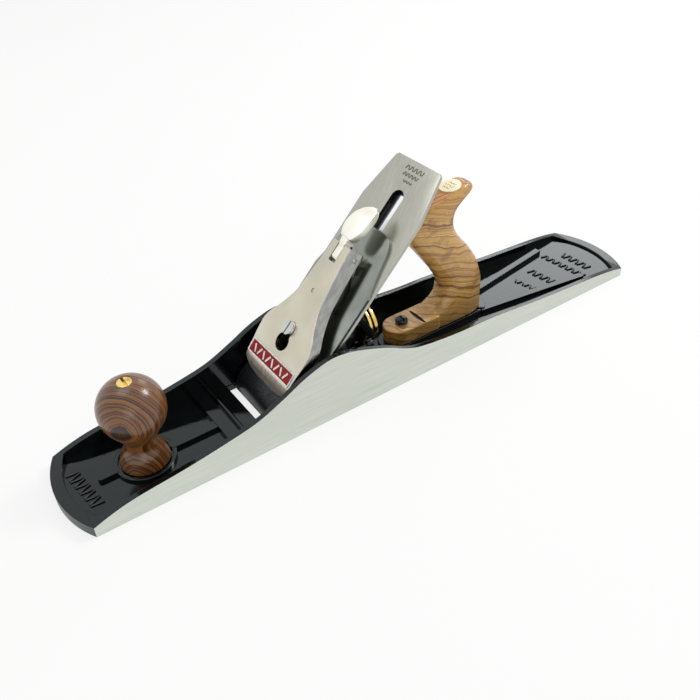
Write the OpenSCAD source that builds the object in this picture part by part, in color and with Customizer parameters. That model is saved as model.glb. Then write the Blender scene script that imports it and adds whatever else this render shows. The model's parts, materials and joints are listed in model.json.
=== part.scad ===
// Fore plane with a 45 degree bed, a screw-set frog, a double iron, a lever cap
// with a cam, a turned front knob and a shaped rear tote. Millimetres.
// X runs along the sole from toe (-X) to heel (+X), Z is up, and the origin is
// the middle of the sole's underside. Pieces on the bed are drawn in the bed's
// own frame: s up the slope, y across it and off square out from it.

/* [Sole and cheeks] */
// Length of the sole, toe tip to heel tip
body_l = 457; // [430:1:490]
// Width of the sole
body_w = 72; // [70:0.5:78]
// How far the toe and the heel bow out past their corners
end_bow = 10; // [7:0.5:13]
// Thickness of each cheek
cheek_t = 4; // [3:0.25:4.5]
// Thickness of the sole at its floor
floor_t = 4.8; // [4:0.1:5.2]
// Height of the cheeks at their peak
peak_h = 49; // [46:0.5:54]
// Height of the cheeks where the hump starts
shoulder_h = 21; // [19:0.5:23]
// Height of the raised band along the toe
toe_rim_h = 7.6; // [6.5:0.1:9]
// Height of the raised band along the heel
heel_rim_h = 6.6; // [6:0.1:8]
// Width of both raised bands
rim_w = 7.5; // [6:0.5:9]

/* [Mouth] */
// Toe tip to the line where the bed plane meets the sole
mouth_from_toe = 138.5; // [132:0.5:145]
// Gap between the cutting edge and the front of the mouth
mouth_gap = 5; // [3:0.1:5.6]
// Gap between each side of the iron and the end of the mouth
mouth_side_gap = 1.3; // [1.2:0.1:1.6]
// How far the sole's slope lies behind the iron
bed_relief = 1.4; // [1:0.1:2]
// Slope of the bed
bed_angle = 45; // [44:0.5:46]

/* [Casting ribs and bosses] */
// Width of the cast ribs
rib_w = 7; // [5:0.5:8]
// Height of the rib between the knob and the mouth
front_rib_h = 7.4; // [6.5:0.1:9]
// Height of the platform in front of the mouth
platform_h = 8; // [7:0.1:9]
// Height of the ridge across that platform
ridge_h = 11; // [10:0.1:13]
// Height of the pad under the knob
knob_pad_h = 5.6; // [5.4:0.1:7]
// Radius of the ring around the knob
knob_ring_r = 19.5; // [18.5:0.5:22]
// Height of that ring
knob_ring_h = 7.2; // [7.1:0.1:9]
// Thickness of that ring
knob_ring_t = 2.5; // [2:0.1:2.6]
// Height of the boss under the tote
tote_boss_h = 8.5; // [7.5:0.1:10]
// Height of the two ribs on the tail
tail_rib_h = 8; // [6.5:0.1:9]
// Half the spread of those ribs at the heel
tail_spread = 24; // [18:0.5:26]

/* [Frog] */
// Height of the pad that the frog sits on
seat_h = 9; // [8:0.1:9.6]
// Width of the frog
frog_w = 54; // [52:0.5:58]
// Length of the frog's face up the slope
frog_top_s = 118; // [117:0.5:122]
// Thickness of the frog's face
plate_t = 6; // [5.5:0.25:6.5]
// Thickness of the frog's base
base_t = 6; // [5:0.25:6.5]
// Thickness of the frog's side webs
web_t = 5; // [4:0.25:5.5]
// Frog travel each way
frog_travel = 1.5; // [1:0.1:1.7]
// Radius of the frog clamp screws
clamp_screw_r = 3; // [2.5:0.1:3.2]
// Distance between the two frog clamp screws
clamp_screw_gap = 30; // [28:0.5:32]
// Radius of the frog adjusting screw
frog_screw_r = 3; // [2.5:0.1:3.2]
// Height of that screw
frog_screw_z = 14; // [13.8:0.1:14.4]

/* [Depth adjuster] */
// Radius of the brass wheel
wheel_r = 13.2; // [12.6:0.1:13.4]
// Length of the wheel along its stud
wheel_l = 10.5; // [9.5:0.25:11.5]
// Line of the bed on the sole to the front of the wheel
wheel_from_mouth = 78; // [77.5:0.25:79]
// Height of the wheel's axis
wheel_z = 36; // [35.5:0.25:37]
// Radius of the wheel's groove floor
groove_r = 10; // [9:0.1:10.6]
// Radius of the stud
stud_r = 3.8; // [3.3:0.1:4.2]
// Thickness of the fork's round tips
fork_tip_r = 1.2; // [1:0.05:1.3]
// Radius of the fork's pin
fork_pin_r = 1.8; // [1.4:0.1:2]

/* [Cutting iron] */
// Gap between each side of the iron and its cheek
iron_side_gap = 2; // [1.7:0.1:3]
// Thickness of the iron
iron_t = 2.3; // [2:0.1:2.6]
// Top of the iron up the slope
iron_top_s = 192; // [186:1:200]
// Height of the cutting edge above the sole's face, at rest
edge_lift = 1; // [0.1:0.05:1.2]
// Bevel of the edge
bevel_angle = 25; // [23:1:30]
// Width of the long slot
slot_w = 11; // [10.6:0.1:12]
// Top end of the long slot up the slope
slot_top_s = 171.5; // [165:0.5:176]

/* [Cap iron] */
// Thickness of the cap iron
cap_iron_t = 2.3; // [2:0.1:2.5]
// Top of the cap iron up the slope
cap_iron_top_s = 142.7; // [136:0.1:148]
// Height of the hump behind the nose, above the strip
hump_h = 3.4; // [2.6:0.1:3.6]
// Edge of the iron to the nose of the cap iron
cap_setback = 1.1; // [0.8:0.1:2]
// Radius of the cap iron screw
cap_screw_r = 3.6; // [3.2:0.1:4]

/* [Lever cap] */
// Wall of the lever cap
lever_cap_t = 3.4; // [3:0.1:3.6]
// Rise of the lever cap's face above the bed at its top end
face_off = 20.8; // [20:0.1:21.6]
// Rise of the lower rim of the side flanges above the bed
flange_off = 11.5; // [10.8:0.1:12]
// Top of the lever cap up the slope
lever_cap_top_s = 123.3; // [121.5:0.1:125]
// Place of the lever cap screw up the slope
keyhole_s = 59.8; // [59:0.1:61]
// Radius of the keyhole's narrow end
keyhole_r = 4.3; // [4:0.1:4.5]
// Radius of the keyhole's wide end
keyhole_big_r = 6.2; // [5.8:0.1:6.6]
// Centre distance of the keyhole's two ends, which is the cap's travel
keyhole_l = 10; // [9:0.1:11]
// Radius of the lever cap screw
cap_bolt_r = 3.1; // [2.8:0.1:3.3]
// Radius of that screw's head
cap_bolt_head_r = 4.9; // [4.7:0.05:5.2]

/* [Cam] */
// Width of the cam lever's stem
cam_w = 5.8; // [5:0.1:6]
// Radius of the cam
cam_r = 6.5; // [6:0.1:6.8]
// Throw of the cam
cam_throw = 1.5; // [1.2:0.1:1.8]
// Radius of the cam pin
cam_pin_r = 1.6; // [1.3:0.1:1.9]
// Length of the cam lever from its pin
cam_l = 35; // [33:0.5:38]
// Thickness of the leaf spring
spring_t = 0.9; // [0.7:0.05:1]

/* [Lateral lever] */
// Thickness of the lateral lever
lateral_t = 1.8; // [1.5:0.1:2]
// Width of the lateral lever
lateral_w = 9; // [8:0.5:10]
// Top of the lateral lever up the slope
lateral_top_s = 169; // [160:1:176]
// Radius of its roller
roller_r = 4.3; // [4:0.1:4.5]

/* [Knob] */
// Toe tip to the knob's axis
knob_from_toe = 57; // [50:0.5:60]
// Height of the knob
knob_h = 63.4; // [58:0.2:70]
// Radius of the knob's ball
knob_r = 20.9; // [20:0.1:23]
// Radius of the knob's foot
knob_foot_r = 15.8; // [14:0.1:15.8]
// Radius of the knob's neck
knob_neck_r = 10.4; // [9.6:0.1:12]
// Radius of the knob nut
knob_nut_r = 4.6; // [4.2:0.1:5.8]
// Radius of the knob bolt
knob_bolt_r = 3; // [2.6:0.1:3.4]

/* [Tote] */
// Line of the bed on the sole to the front of the tote
tote_from_mouth = 104; // [103:0.5:108]
// Front of the tote's toe block to the rear of its foot
tote_reach = 84.5; // [80:0.5:88]
// Thickness of the tote
tote_t = 22; // [20:0.25:24]
// Height of the tote above its boss
tote_h = 101.5; // [98:0.5:106]
// Radius of the tote bolt
tote_bolt_r = 2.4; // [2.2:0.1:2.8]
// Radius of the tote nut
tote_nut_r = 5.2; // [5:0.1:5.6]
// Radius of the toe screw's head
toe_screw_head_r = 4.6; // [4.2:0.1:5]
// Radius of the label on the horn
label_r = 7.75; // [7:0.25:8]

/* [Fits] */
// Radial clearance of pins and screws that turn or slide
run_fit = 0.05; // [0.03:0.01:0.08]
// Gap between neighbouring pieces that move past each other
gap = 0.3; // [0.25:0.05:0.35]

/* [Hidden] */
$fn = 64;
cut = 0.5;

// Plan of the casting
end_r = (pow(body_w / 2, 2) + pow(end_bow, 2)) / (2 * end_bow);
toe_x = -body_l / 2;
heel_x = body_l / 2;
inner_w = body_w - 2 * cheek_t;
iron_w = inner_w - 2 * iron_side_gap;
bed_x = toe_x + mouth_from_toe;
edge_x = bed_x - iron_t / sin(bed_angle);
mouth_x = edge_x - mouth_gap;
mouth_w = iron_w + 2 * mouth_side_gap;
slope_x = bed_x + bed_relief / sin(bed_angle);
knob_x = toe_x + knob_from_toe;
tote_x = bed_x + tote_from_mouth;

// Places along the bed's slope
sin_bed = sin(bed_angle);
cos_bed = cos(bed_angle);
edge_s = (edge_lift - iron_t * cos_bed) / sin_bed;
edge_to_pivot = 77;
cap_screw_s = edge_s + edge_to_pivot;
finger_s = cap_screw_s + 14.8;
roller_s = finger_s + 11.1;
rivet_s = roller_s + 11;
slot_low_s = 55;
slot_hole_s = 44;
slot_hole_r = 8.2;
cam_pin_s = lever_cap_top_s - 5;

// Heights above the bed
cap_iron_off = iron_t + cap_iron_t;
spring_low_off = cap_iron_off + gap;
cam_pin_off = spring_low_off + spring_t + gap + cam_r + cam_throw;
lateral_off = -gap / 2;
frog_recess = lateral_t + gap;
iron_travel = 1.8;
width_k = iron_w / 60;

// The adjuster behind the frog
wheel_x = bed_x + wheel_from_mouth;
fork_groove_x = wheel_x + 3;
fork_pin_s = finger_s;
fork_pin_off = -plate_t;
fork_pin_x = bed_x + fork_pin_s * cos_bed - fork_pin_off * sin_bed;
fork_pin_z = fork_pin_s * sin_bed + fork_pin_off * cos_bed;
frog_back_x = bed_x + 64;
clamp_x = bed_x + 28;
screw_lug_x = bed_x + 78;
screw_lug_t = 6;
stud_boss_r = 8;
stud_boss_x = wheel_x - 4;

// A smooth curve through the points p, with n steps to each span
function spline(p, n = 5) = [
    for (i = [0 : len(p) - 2], k = [0 : n - 1])
        let (a = p[max(i - 1, 0)], b = p[i], c = p[i + 1], d = p[min(i + 2, len(p) - 1)], t = k / n)
        0.5 * (2 * b + (c - a) * t + (2 * a - 5 * b + 4 * c - d) * t * t
            + (3 * b - a - 3 * c + d) * t * t * t),
    p[len(p) - 1]
];

// Straight interpolation in a table of [x, y] points
function table(p, x) = lookup(x, p);

// Puts a shape from the bed's frame (s, y, off) into the plane
module on_bed() translate([bed_x, 0, 0]) rotate([0, -bed_angle, 0]) children();

// Extrudes a side view (x, z) across the plane, y wide
module across(width) translate([0, width / 2, 0]) rotate([90, 0, 0]) linear_extrude(width) children();

// A bar with round ends, r wide to each side, from a to b
module bar(a, b, r) {
    d = b - a;
    translate(a) circle(r);
    translate(b) circle(r);
    translate(a) rotate(atan2(d[1], d[0])) translate([0, -r]) square([norm(d), 2 * r]);
}

// The same bar with square ends
module strut(a, b, r) {
    d = b - a;
    translate(a) rotate(atan2(d[1], d[0])) translate([0, -r]) square([norm(d), 2 * r]);
}

// A cylinder along X from x1 to x2
module rod_x(x1, x2, r) translate([x1, 0, 0]) rotate([0, 90, 0]) cylinder(h = x2 - x1, r = r);

// A cylinder along Y, centred on the plane's middle
module rod_y(width, r) rotate([90, 0, 0]) cylinder(h = width, r = r, center = true);

// A closed solid through rings that have the same number of points
module loft(rings) {
    n = len(rings[0]);
    m = len(rings);
    polyhedron(
        points = [for (ring = rings) each ring],
        faces = [
            [for (k = [0 : n - 1]) k],
            for (i = [0 : m - 2], k = [0 : n - 1])
                each [
                    [i * n + k, (i + 1) * n + (k + 1) % n, i * n + (k + 1) % n],
                    [i * n + k, (i + 1) * n + k, (i + 1) * n + (k + 1) % n]
                ],
            [for (k = [n - 1 : -1 : 0]) (m - 1) * n + k]
        ]
    );
}

// Plan of the casting, pulled in by side at the cheeks and by end at toe and heel
module plan(side = 0, end = 0) {
    intersection() {
        square([body_l, body_w - 2 * side], center = true);
        union() {
            square([body_l - 2 * end_r, body_w], center = true);
            for (x = [toe_x + end_r, heel_x - end_r])
                translate([x, 0]) circle(end_r - end, $fn = 180);
        }
    }
}

// Side view of the cheeks' top line
hump = [
    [-42, 0.057], [-19, 0.225], [0, 0.507], [18, 0.814], [37, 1], [55, 0.911], [79, 0.593],
    [95, 0.3], [110, 0.132], [139, 0.014]
];
cheek_line = spline([
    [toe_x + end_bow, toe_rim_h],
    [toe_x + end_bow + 12.5, toe_rim_h + 4.2],
    [toe_x + end_bow + 28.5, toe_rim_h + 7.6],
    [bed_x - 70, shoulder_h - 2.6],
    for (p = hump) [bed_x + p[0], shoulder_h + (peak_h - shoulder_h) * p[1]],
    [bed_x + 176, shoulder_h - 1.3],
    [bed_x + 221, shoulder_h - 5.9],
    [heel_x - end_bow - 36.5, heel_rim_h + 4.9],
    [heel_x - end_bow - 14.5, heel_rim_h + 2.7],
    [heel_x - end_bow, heel_rim_h]
]);

module cheek_side() {
    polygon(concat(
        [[toe_x, 0], [toe_x, toe_rim_h]], cheek_line, [[heel_x, heel_rim_h], [heel_x, 0]]
    ));
}

// Where the tail ribs start and end
tail_start = [tote_x + tote_reach + 3.5, tote_t / 2];
tail_end = [heel_x - 41.5, tail_spread];

module casting_ribs() {
    // Toe rib, and the rib between knob and mouth
    linear_extrude(front_rib_h) {
        bar([knob_x - knob_ring_r, 0], [knob_x - 29, 0], rib_w * 0.3);
        bar([knob_x + knob_ring_r, 0], [mouth_x - 24, 0], rib_w / 2);
    }
    // Platform with its ridge
    translate([mouth_x - 24.3, -inner_w / 2, 0]) cube([13, inner_w, platform_h]);
    across(inner_w) intersection() {
        translate([mouth_x - 13.3, ridge_h - 1.5]) circle(1.5);
        translate([mouth_x - 20, 0]) square([20, ridge_h]);
    }
    translate([mouth_x - 14.8, -inner_w / 2, 0]) cube([3, inner_w, ridge_h - 1.5]);
    // Knob pad and ring
    translate([knob_x, 0, 0]) {
        cylinder(h = knob_pad_h, r = knob_ring_r);
        difference() {
            cylinder(h = knob_ring_h, r = knob_ring_r);
            cylinder(h = knob_ring_h + 1, r = knob_ring_r - knob_ring_t);
        }
    }
    // Frog seat with its guide rib
    translate([slope_x, -frog_w / 2, 0]) cube([frog_back_x - slope_x, frog_w, seat_h]);
    translate([bed_x + 16, -guide_w / 2, 0]) cube([frog_back_x - bed_x - 21, guide_w, guide_top]);
    // Lug of the frog adjusting screw
    translate([screw_lug_x, 0, 0]) rotate([90, 0, 90]) linear_extrude(screw_lug_t) {
        translate([-6, 0]) square([12, frog_screw_z]);
        translate([0, frog_screw_z]) circle(6);
    }
    // Tote boss and the two tail ribs
    linear_extrude(tote_boss_h)
        bar([tote_x + tote_t / 3, 0], [tote_x + tote_reach - tote_t * 0.3, 0], tote_t / 2 + 1);
    linear_extrude(tail_rib_h) for (side = [-1, 1])
        strut(
            [tail_start[0] - 8, side * (tail_start[1] - 1)], [tail_end[0], side * tail_end[1]], rib_w * 0.36
        );
}

guide_w = 6;
guide_top = seat_h + 2;

module plane_body() {
    color("darkslategray") difference() {
        union() {
            linear_extrude(floor_t) plan();
            intersection() {
                linear_extrude(peak_h + 1) difference() {
                    plan();
                    plan(cheek_t, rim_w);
                }
                across(body_w + 2) cheek_side();
            }
            casting_ribs();
        }
        // Mouth: upright at the front, parallel to the bed behind
        across(mouth_w) polygon([
            [mouth_x, -1], [mouth_x, seat_h + 1],
            [slope_x + (seat_h + 1) / tan(bed_angle), seat_h + 1],
            [slope_x - 1 / tan(bed_angle), -1]
        ]);
        for (side = [-1, 1]) translate([clamp_x, side * clamp_screw_gap / 2, screw_floor])
            cylinder(h = seat_h + guide_w, r = clamp_screw_r + run_fit);
        translate([screw_lug_x - 1, 0, frog_screw_z])
            rod_x(0, screw_lug_t + 2, frog_screw_r + run_fit);
        translate([knob_x, 0, screw_floor]) cylinder(h = 20, r = knob_bolt_r + run_fit);
        on_tote_bolt() translate([0, 0, -tote_bolt_l]) cylinder(h = tote_bolt_l, r = tote_bolt_r + run_fit);
        translate([toe_screw_x, 0, screw_floor]) cylinder(h = 20, r = toe_screw_r + run_fit);
    }
}

// Bed screws stop this far above the sole's face
screw_floor = 2;

// Frog
frog_low_s = seat_h / sin_bed;
web_top_s = 74;
guide_gap = 0.1;
clamp_slot = frog_travel + gap;
clamp_pocket_r = 7;
lever_hole_r = cap_bolt_r + run_fit;

module frog_face() {
    // Wide where the iron is clamped, narrower at the top
    side = spline([
        [frog_low_s - 12, frog_w / 2], [58, frog_w / 2], [70, frog_w / 2 - 3], [80, 18.5],
        [92, 14.5], [frog_top_s - 8, 13.5], [frog_top_s - 1, 11.5], [frog_top_s, 9]
    ], 4);
    polygon(concat(side, [for (i = [len(side) - 1 : -1 : 0]) [side[i][0], -side[i][1]]]));
}

module frog_solid() {
    intersection() {
        on_bed() translate([0, 0, -plate_t]) linear_extrude(plate_t) frog_face();
        translate([bed_x - 20, -frog_w / 2 - 1, seat_h]) cube([200, frog_w + 2, 200]);
    }
    // Base, side webs and the boss of the depth stud
    front = bed_x + seat_h / tan(bed_angle);
    web = bed_x + (web_top_s * cos_bed);
    across(frog_w) polygon([
        [front, seat_h], [frog_back_x, seat_h], [frog_back_x, seat_h + base_t],
        [front + base_t / tan(bed_angle), seat_h + base_t]
    ]);
    for (side = [-1, 1]) translate([0, side * (frog_w - web_t) / 2, 0]) across(web_t) polygon([
        [front + 1, seat_h + 1], [frog_back_x - 1, seat_h + 1], [frog_back_x - 1, seat_h + base_t + 2],
        [web + 3, web_top_s * sin_bed - 12], [web, web_top_s * sin_bed - 3]
    ]);
    translate([0, 0, wheel_z]) rod_x(bed_x + wheel_z / tan(bed_angle), stud_boss_x, stud_boss_r);
    // Block at the back for the clip, and its link to the boss
    translate([frog_back_x - 14, -9, seat_h]) cube([14, 18, 15.5]);
    translate([frog_back_x - 14, -3, seat_h + 10]) cube([14, 6, wheel_z - seat_h - 10]);
    // Boss of the lever cap screw, and ears of the fork pin
    on_bed() {
        translate([keyhole_s, 0, -plate_t - 6]) cylinder(h = 8, r = 7);
        for (side = [-1, 1]) translate([fork_pin_s, side * 8.5, 0]) {
            translate([0, 0, fork_pin_off - 1]) rod_y(5, 5);
            translate([-5, -2.5, fork_pin_off - 1]) cube([10, 5, 4]);
        }
    }
}

module frog() {
    color("slategray") difference() {
        frog_solid();
        // Nothing stands above the bed
        on_bed() translate([-50, -50, 0]) cube([300, 100, 100]);
        // Groove for the guide rib, and slots and pockets for the clamp screws
        translate([bed_x, -guide_w / 2 - guide_gap, seat_h - 1])
            cube([frog_back_x - bed_x + 1, guide_w + 2 * guide_gap, guide_top - seat_h + 1 + guide_gap]);
        for (side = [-1, 1]) translate([clamp_x, side * clamp_screw_gap / 2, 0]) {
            reach = clamp_slot;
            translate([0, 0, seat_h - 1]) linear_extrude(base_t + 2)
                bar([-reach, 0], [reach, 0], clamp_screw_r + gap);
            translate([0, 0, seat_h + base_t]) linear_extrude(frog_top_s)
                bar([-reach, 0], [reach, 0], clamp_pocket_r);
        }
        // Stud bore
        translate([0, 0, wheel_z]) rod_x(stud_x1 - stud_back - gap, stud_boss_x + 1, stud_r + run_fit);
        // Bores of the adjusting screw's collar and of the clip screw
        translate([0, 0, frog_screw_z]) rod_x(frog_back_x - 6, frog_back_x + 1, frog_screw_r + gap);
        translate([0, 0, clip_screw_z]) rod_x(frog_back_x - 8, frog_back_x + 1, clip_screw_r + run_fit);
        on_bed() {
            translate([keyhole_s, 0, -plate_t - 10]) cylinder(h = plate_t + 12, r = lever_hole_r);
            // Pocket for the head of the cap iron screw
            translate([0, 0, -cap_screw_head_t - 2 * gap]) linear_extrude(20)
                bar([cap_screw_s - iron_travel, 0], [cap_screw_s + iron_travel, 0], cap_screw_head_r + gap);
            // Window for the fork's finger
            translate([fork_pin_s - finger_window / 2, -fork_w / 2 - gap, -20])
                cube([finger_window, fork_w + 2 * gap, 40]);
            translate([fork_pin_s, 0, fork_pin_off]) rod_y(30, fork_pin_r + run_fit);
            // Recess for the lateral lever, and its rivet hole
            translate([roller_s - roller_r - 3, -10, -frog_recess]) cube([40, 20, 20]);
            translate([rivet_s, 0, -plate_t - 1]) cylinder(h = plate_t + 2, r = rivet_r + run_fit);
        }
    }
}

finger_window = 12;
fork_w = 8;
rivet_r = 2.2;
cap_screw_head_r = 7.4;
cap_screw_head_t = 2.4;

// Frog clamp screws and washers
washer_t = 1.2;
washer_r = clamp_pocket_r - clamp_slot - 0.1;
clamp_head_h = 3.6;
clamp_head_r = 4.9;

module at_clamps() {
    for (side = [-1, 1])
        translate([clamp_x, side * clamp_screw_gap / 2, seat_h + base_t]) children();
}

module frog_clamp_washers() {
    color("gainsboro") at_clamps() difference() {
        cylinder(h = washer_t, r = washer_r);
        translate([0, 0, -cut]) cylinder(h = washer_t + 2 * cut, r = clamp_screw_r + run_fit);
    }
}

module frog_clamp_screws() {
    shank = seat_h + base_t - screw_floor - cut;
    color("silver") at_clamps() difference() {
        union() {
            translate([0, 0, -shank]) cylinder(h = shank + washer_t, r = clamp_screw_r);
            translate([0, 0, washer_t]) cylinder(h = clamp_head_h, r = clamp_head_r);
        }
        translate([-0.6, -clamp_head_r - 1, washer_t + clamp_head_h - 1.6])
            cube([1.2, 2 * clamp_head_r + 2, 3]);
    }
}

// Frog adjusting screw, clip and clip screw
clip_t = 2;
clip_neck_r = frog_screw_r - 1;
clip_screw_r = 1.6;
clip_screw_z = frog_screw_z + 6.4;

module frog_adjusting_clip() {
    color("silver") translate([frog_back_x, 0, 0]) rotate([90, 0, 90]) linear_extrude(clip_t) difference() {
        union() {
            translate([-5.5, seat_h + 1]) square([11, clip_screw_z - seat_h - 1]);
            translate([0, clip_screw_z]) circle(4);
        }
        bar([0, seat_h - 5], [0, frog_screw_z], clip_neck_r + run_fit);
        translate([0, clip_screw_z]) circle(clip_screw_r + run_fit);
    }
}

module frog_clip_screw() {
    color("silver") translate([0, 0, clip_screw_z]) difference() {
        union() {
            rod_x(frog_back_x - 7.5, frog_back_x + clip_t, clip_screw_r);
            rod_x(frog_back_x + clip_t, frog_back_x + clip_t + 1.8, 3);
        }
        translate([frog_back_x + clip_t + 1, -5, -0.4]) cube([3, 10, 0.8]);
    }
}

module frog_adjusting_screw() {
    head_x = screw_lug_x + screw_lug_t + frog_travel + gap;
    head_r = 4.5;
    head_l = 5;
    color("silver") translate([0, 0, frog_screw_z]) difference() {
        union() {
            rod_x(frog_back_x - 4, frog_back_x - gap / 2, frog_screw_r);
            rod_x(frog_back_x - 1, frog_back_x + clip_t + 1, clip_neck_r);
            rod_x(frog_back_x + clip_t + gap / 2, head_x + 1, frog_screw_r);
            rod_x(head_x, head_x + head_l, head_r);
        }
        translate([head_x + head_l - 1.6, -head_r - 1, -0.6]) cube([3, 2 * head_r + 2, 1.2]);
    }
}

// Depth stud, wheel and fork
stud_back = 1.8;
stud_x1 = stud_boss_x - 4 * stud_r;
stud_x2 = wheel_x + wheel_l + 2;
groove_w = 2 * fork_tip_r + 0.5;
fork_reach = 9.3;
finger_r = 2.2;
pin_barrel_r = 3.6;

module depth_stud() {
    color("silver") translate([0, 0, wheel_z]) {
        rod_x(stud_x1, stud_x2 - 1, stud_r);
        rod_x(stud_x2 - 1.5, stud_x2, stud_r - 0.6);
    }
}

module depth_wheel() {
    // Three rims with two grooves, the front one for the fork
    front = fork_groove_x - groove_w / 2;
    back = fork_groove_x + groove_w / 2;
    color("goldenrod") translate([0, 0, wheel_z]) difference() {
        union() {
            rod_x(wheel_x, wheel_x + wheel_l, groove_r);
            rod_x(wheel_x, front, wheel_r);
            rod_x(back, back + 2, wheel_r);
            rod_x(back, wheel_x + wheel_l - 1, groove_r + 1.4);
            rod_x(back + 3.6, wheel_x + wheel_l, wheel_r);
        }
        rod_x(wheel_x - 1, wheel_x + wheel_l + 1, stud_r + run_fit);
    }
}

module y_lever() {
    pin = [fork_pin_x, fork_pin_z];
    tip = [fork_groove_x, wheel_z];
    tine_y = wheel_r + gap;
    tine_t = 2;
    arm_w = fork_w - 1;
    elbow = pin + (tip - pin) * 0.35;
    color("dimgray") difference() {
        union() {
            translate([pin[0], 0, pin[1]]) {
                rod_y(fork_w, pin_barrel_r);
                // Finger that stands up through the iron into the cap iron
                rotate([0, -bed_angle, 0]) across(arm_w) {
                    translate([-finger_r, 0]) square([2 * finger_r, fork_reach]);
                    translate([0, fork_reach]) circle(finger_r);
                }
            }
            across(arm_w) strut(pin, elbow, 2.8);
            translate([elbow[0], 0, elbow[1]]) rod_y(2 * (tine_y + tine_t), 3.2);
            // Two tines beside the wheel, each with a round tip in the groove
            for (side = [-1, 1]) {
                translate([0, side * (tine_y + tine_t / 2), 0]) across(tine_t) {
                    strut(elbow, tip, 2.5);
                    translate(tip) circle(3);
                }
                translate([tip[0], side * (groove_r + tine_y + 1) / 2, tip[1]])
                    rod_y(tine_y - groove_r, fork_tip_r);
            }
        }
        translate([pin[0], 0, pin[1]]) rod_y(40, fork_pin_r + run_fit);
    }
}

module y_lever_pin() {
    color("silver") translate([fork_pin_x, 0, fork_pin_z]) rod_y(22, fork_pin_r);
}

// Lateral lever
module lateral_lever() {
    color("silver") on_bed() {
        difference() {
            union() {
                translate([0, 0, lateral_off - lateral_t]) linear_extrude(lateral_t) {
                    bar([roller_s, 0], [rivet_s, 0], lateral_w / 2);
                    polygon([
                        [rivet_s, -lateral_w / 2], [rivet_s, lateral_w / 2],
                        [lateral_top_s - 6, lateral_w / 2 - 1], [lateral_top_s, lateral_w / 2 + 2],
                        [lateral_top_s, -lateral_w / 2 - 2], [lateral_top_s - 6, -lateral_w / 2 + 1]
                    ]);
                }
                // Thumb tab, folded back
                translate([lateral_top_s - lateral_t, -lateral_w / 2 - 2, lateral_off - 10])
                    cube([lateral_t, lateral_w + 4, 10]);
            }
            translate([rivet_s, 0, -10]) cylinder(h = 20, r = rivet_r + run_fit);
            translate([roller_s, 0, -10]) cylinder(h = 20, r = roller_pin_r + run_fit);
        }
    }
}

roller_pin_r = 1.5;

module lateral_roller() {
    color("silver") on_bed() translate([roller_s, 0, 0]) {
        translate([0, 0, lateral_off + gap / 6]) cylinder(h = iron_t - gap / 2, r = roller_r);
        translate([0, 0, lateral_off - lateral_t]) cylinder(h = lateral_t + 1, r = roller_pin_r);
    }
}

module lateral_rivet() {
    color("silver") on_bed() translate([rivet_s, 0, 0]) {
        translate([0, 0, -plate_t]) cylinder(h = plate_t + 0.5, r = rivet_r);
        translate([0, 0, lateral_off]) cylinder(h = iron_t - 2 * gap, r = rivet_r + 1.2);
    }
}

// Cutting iron and cap iron
module iron_plan() {
    w = iron_w / 2;
    difference() {
        polygon([
            [edge_s, -w], [edge_s, w], [iron_top_s - 33.5, w], [iron_top_s - 1.6, w * 0.75],
            [iron_top_s, w * 0.683], [iron_top_s, -w * 0.683], [iron_top_s - 1.6, -w * 0.75],
            [iron_top_s - 33.5, -w]
        ]);
        bar([slot_low_s, 0], [slot_top_s - slot_w / 2, 0], slot_w / 2);
        translate([slot_hole_s, 0]) circle(slot_hole_r);
        translate([slot_hole_s, -slot_w / 2]) square([slot_low_s - slot_hole_s, slot_w]);
    }
}

module cutting_iron() {
    color("darkgray") on_bed() difference() {
        linear_extrude(iron_t) iron_plan();
        across(iron_w + 2) polygon([
            [edge_s, iron_t], [edge_s + iron_t / tan(bevel_angle), 0],
            [edge_s + iron_t / tan(bevel_angle), -1], [edge_s - 1, -1], [edge_s - 1, iron_t]
        ]);
    }
}

nose_s = edge_s + cap_setback;
hump_s = nose_s + 14.8;
strip_s = nose_s + 31;

module cap_iron_side() {
    low = iron_t;
    high = cap_iron_off;
    top = high + hump_h;
    outer = spline([
        [nose_s, low + 0.05], [nose_s + 1.8, low + 1.9], [nose_s + 7, top - 0.75], [hump_s, top],
        [nose_s + 22, high + hump_h * 0.55], [nose_s + 27, high + hump_h * 0.12], [strip_s, high]
    ], 4);
    inner = spline([
        [strip_s, low], [nose_s + 26.6, low + hump_h * 0.12], [nose_s + 21, low + hump_h * 0.55],
        [hump_s, low + hump_h - 0.1], [nose_s + 8, low + hump_h - 0.9], [nose_s + 3.6, low + 0.9],
        [nose_s + 2.4, low]
    ], 4);
    polygon(concat(outer, [[cap_iron_top_s, high], [cap_iron_top_s, low]], inner));
}

module cap_iron_plan() {
    w = iron_w / 2;
    top = cap_iron_top_s;
    side = spline([
        [top - 39.7, w], [top - 30.7, w * 0.917], [top - 16.7, w * 0.8], [top - 8.7, w * 0.733],
        [top - 3, w * 0.617], [top - 0.8, w * 0.467], [top, w * 0.267]
    ], 4);
    half = concat([[nose_s - 1, w]], side);
    difference() {
        polygon(concat(half, [for (i = [len(half) - 1 : -1 : 0]) [half[i][0], -half[i][1]]]));
        bar([keyhole_s - iron_travel, 0], [keyhole_s + iron_travel, 0], cap_bolt_r + 1);
        translate([cap_screw_s, 0]) circle(cap_screw_r + run_fit);
        translate([finger_s - finger_r - gap - 0.2, -slot_w / 2])
            square([2 * (finger_r + gap + 0.2), slot_w]);
    }
}

module cap_iron() {
    color("dimgray") on_bed() intersection() {
        across(iron_w) cap_iron_side();
        linear_extrude(40) cap_iron_plan();
    }
}

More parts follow.
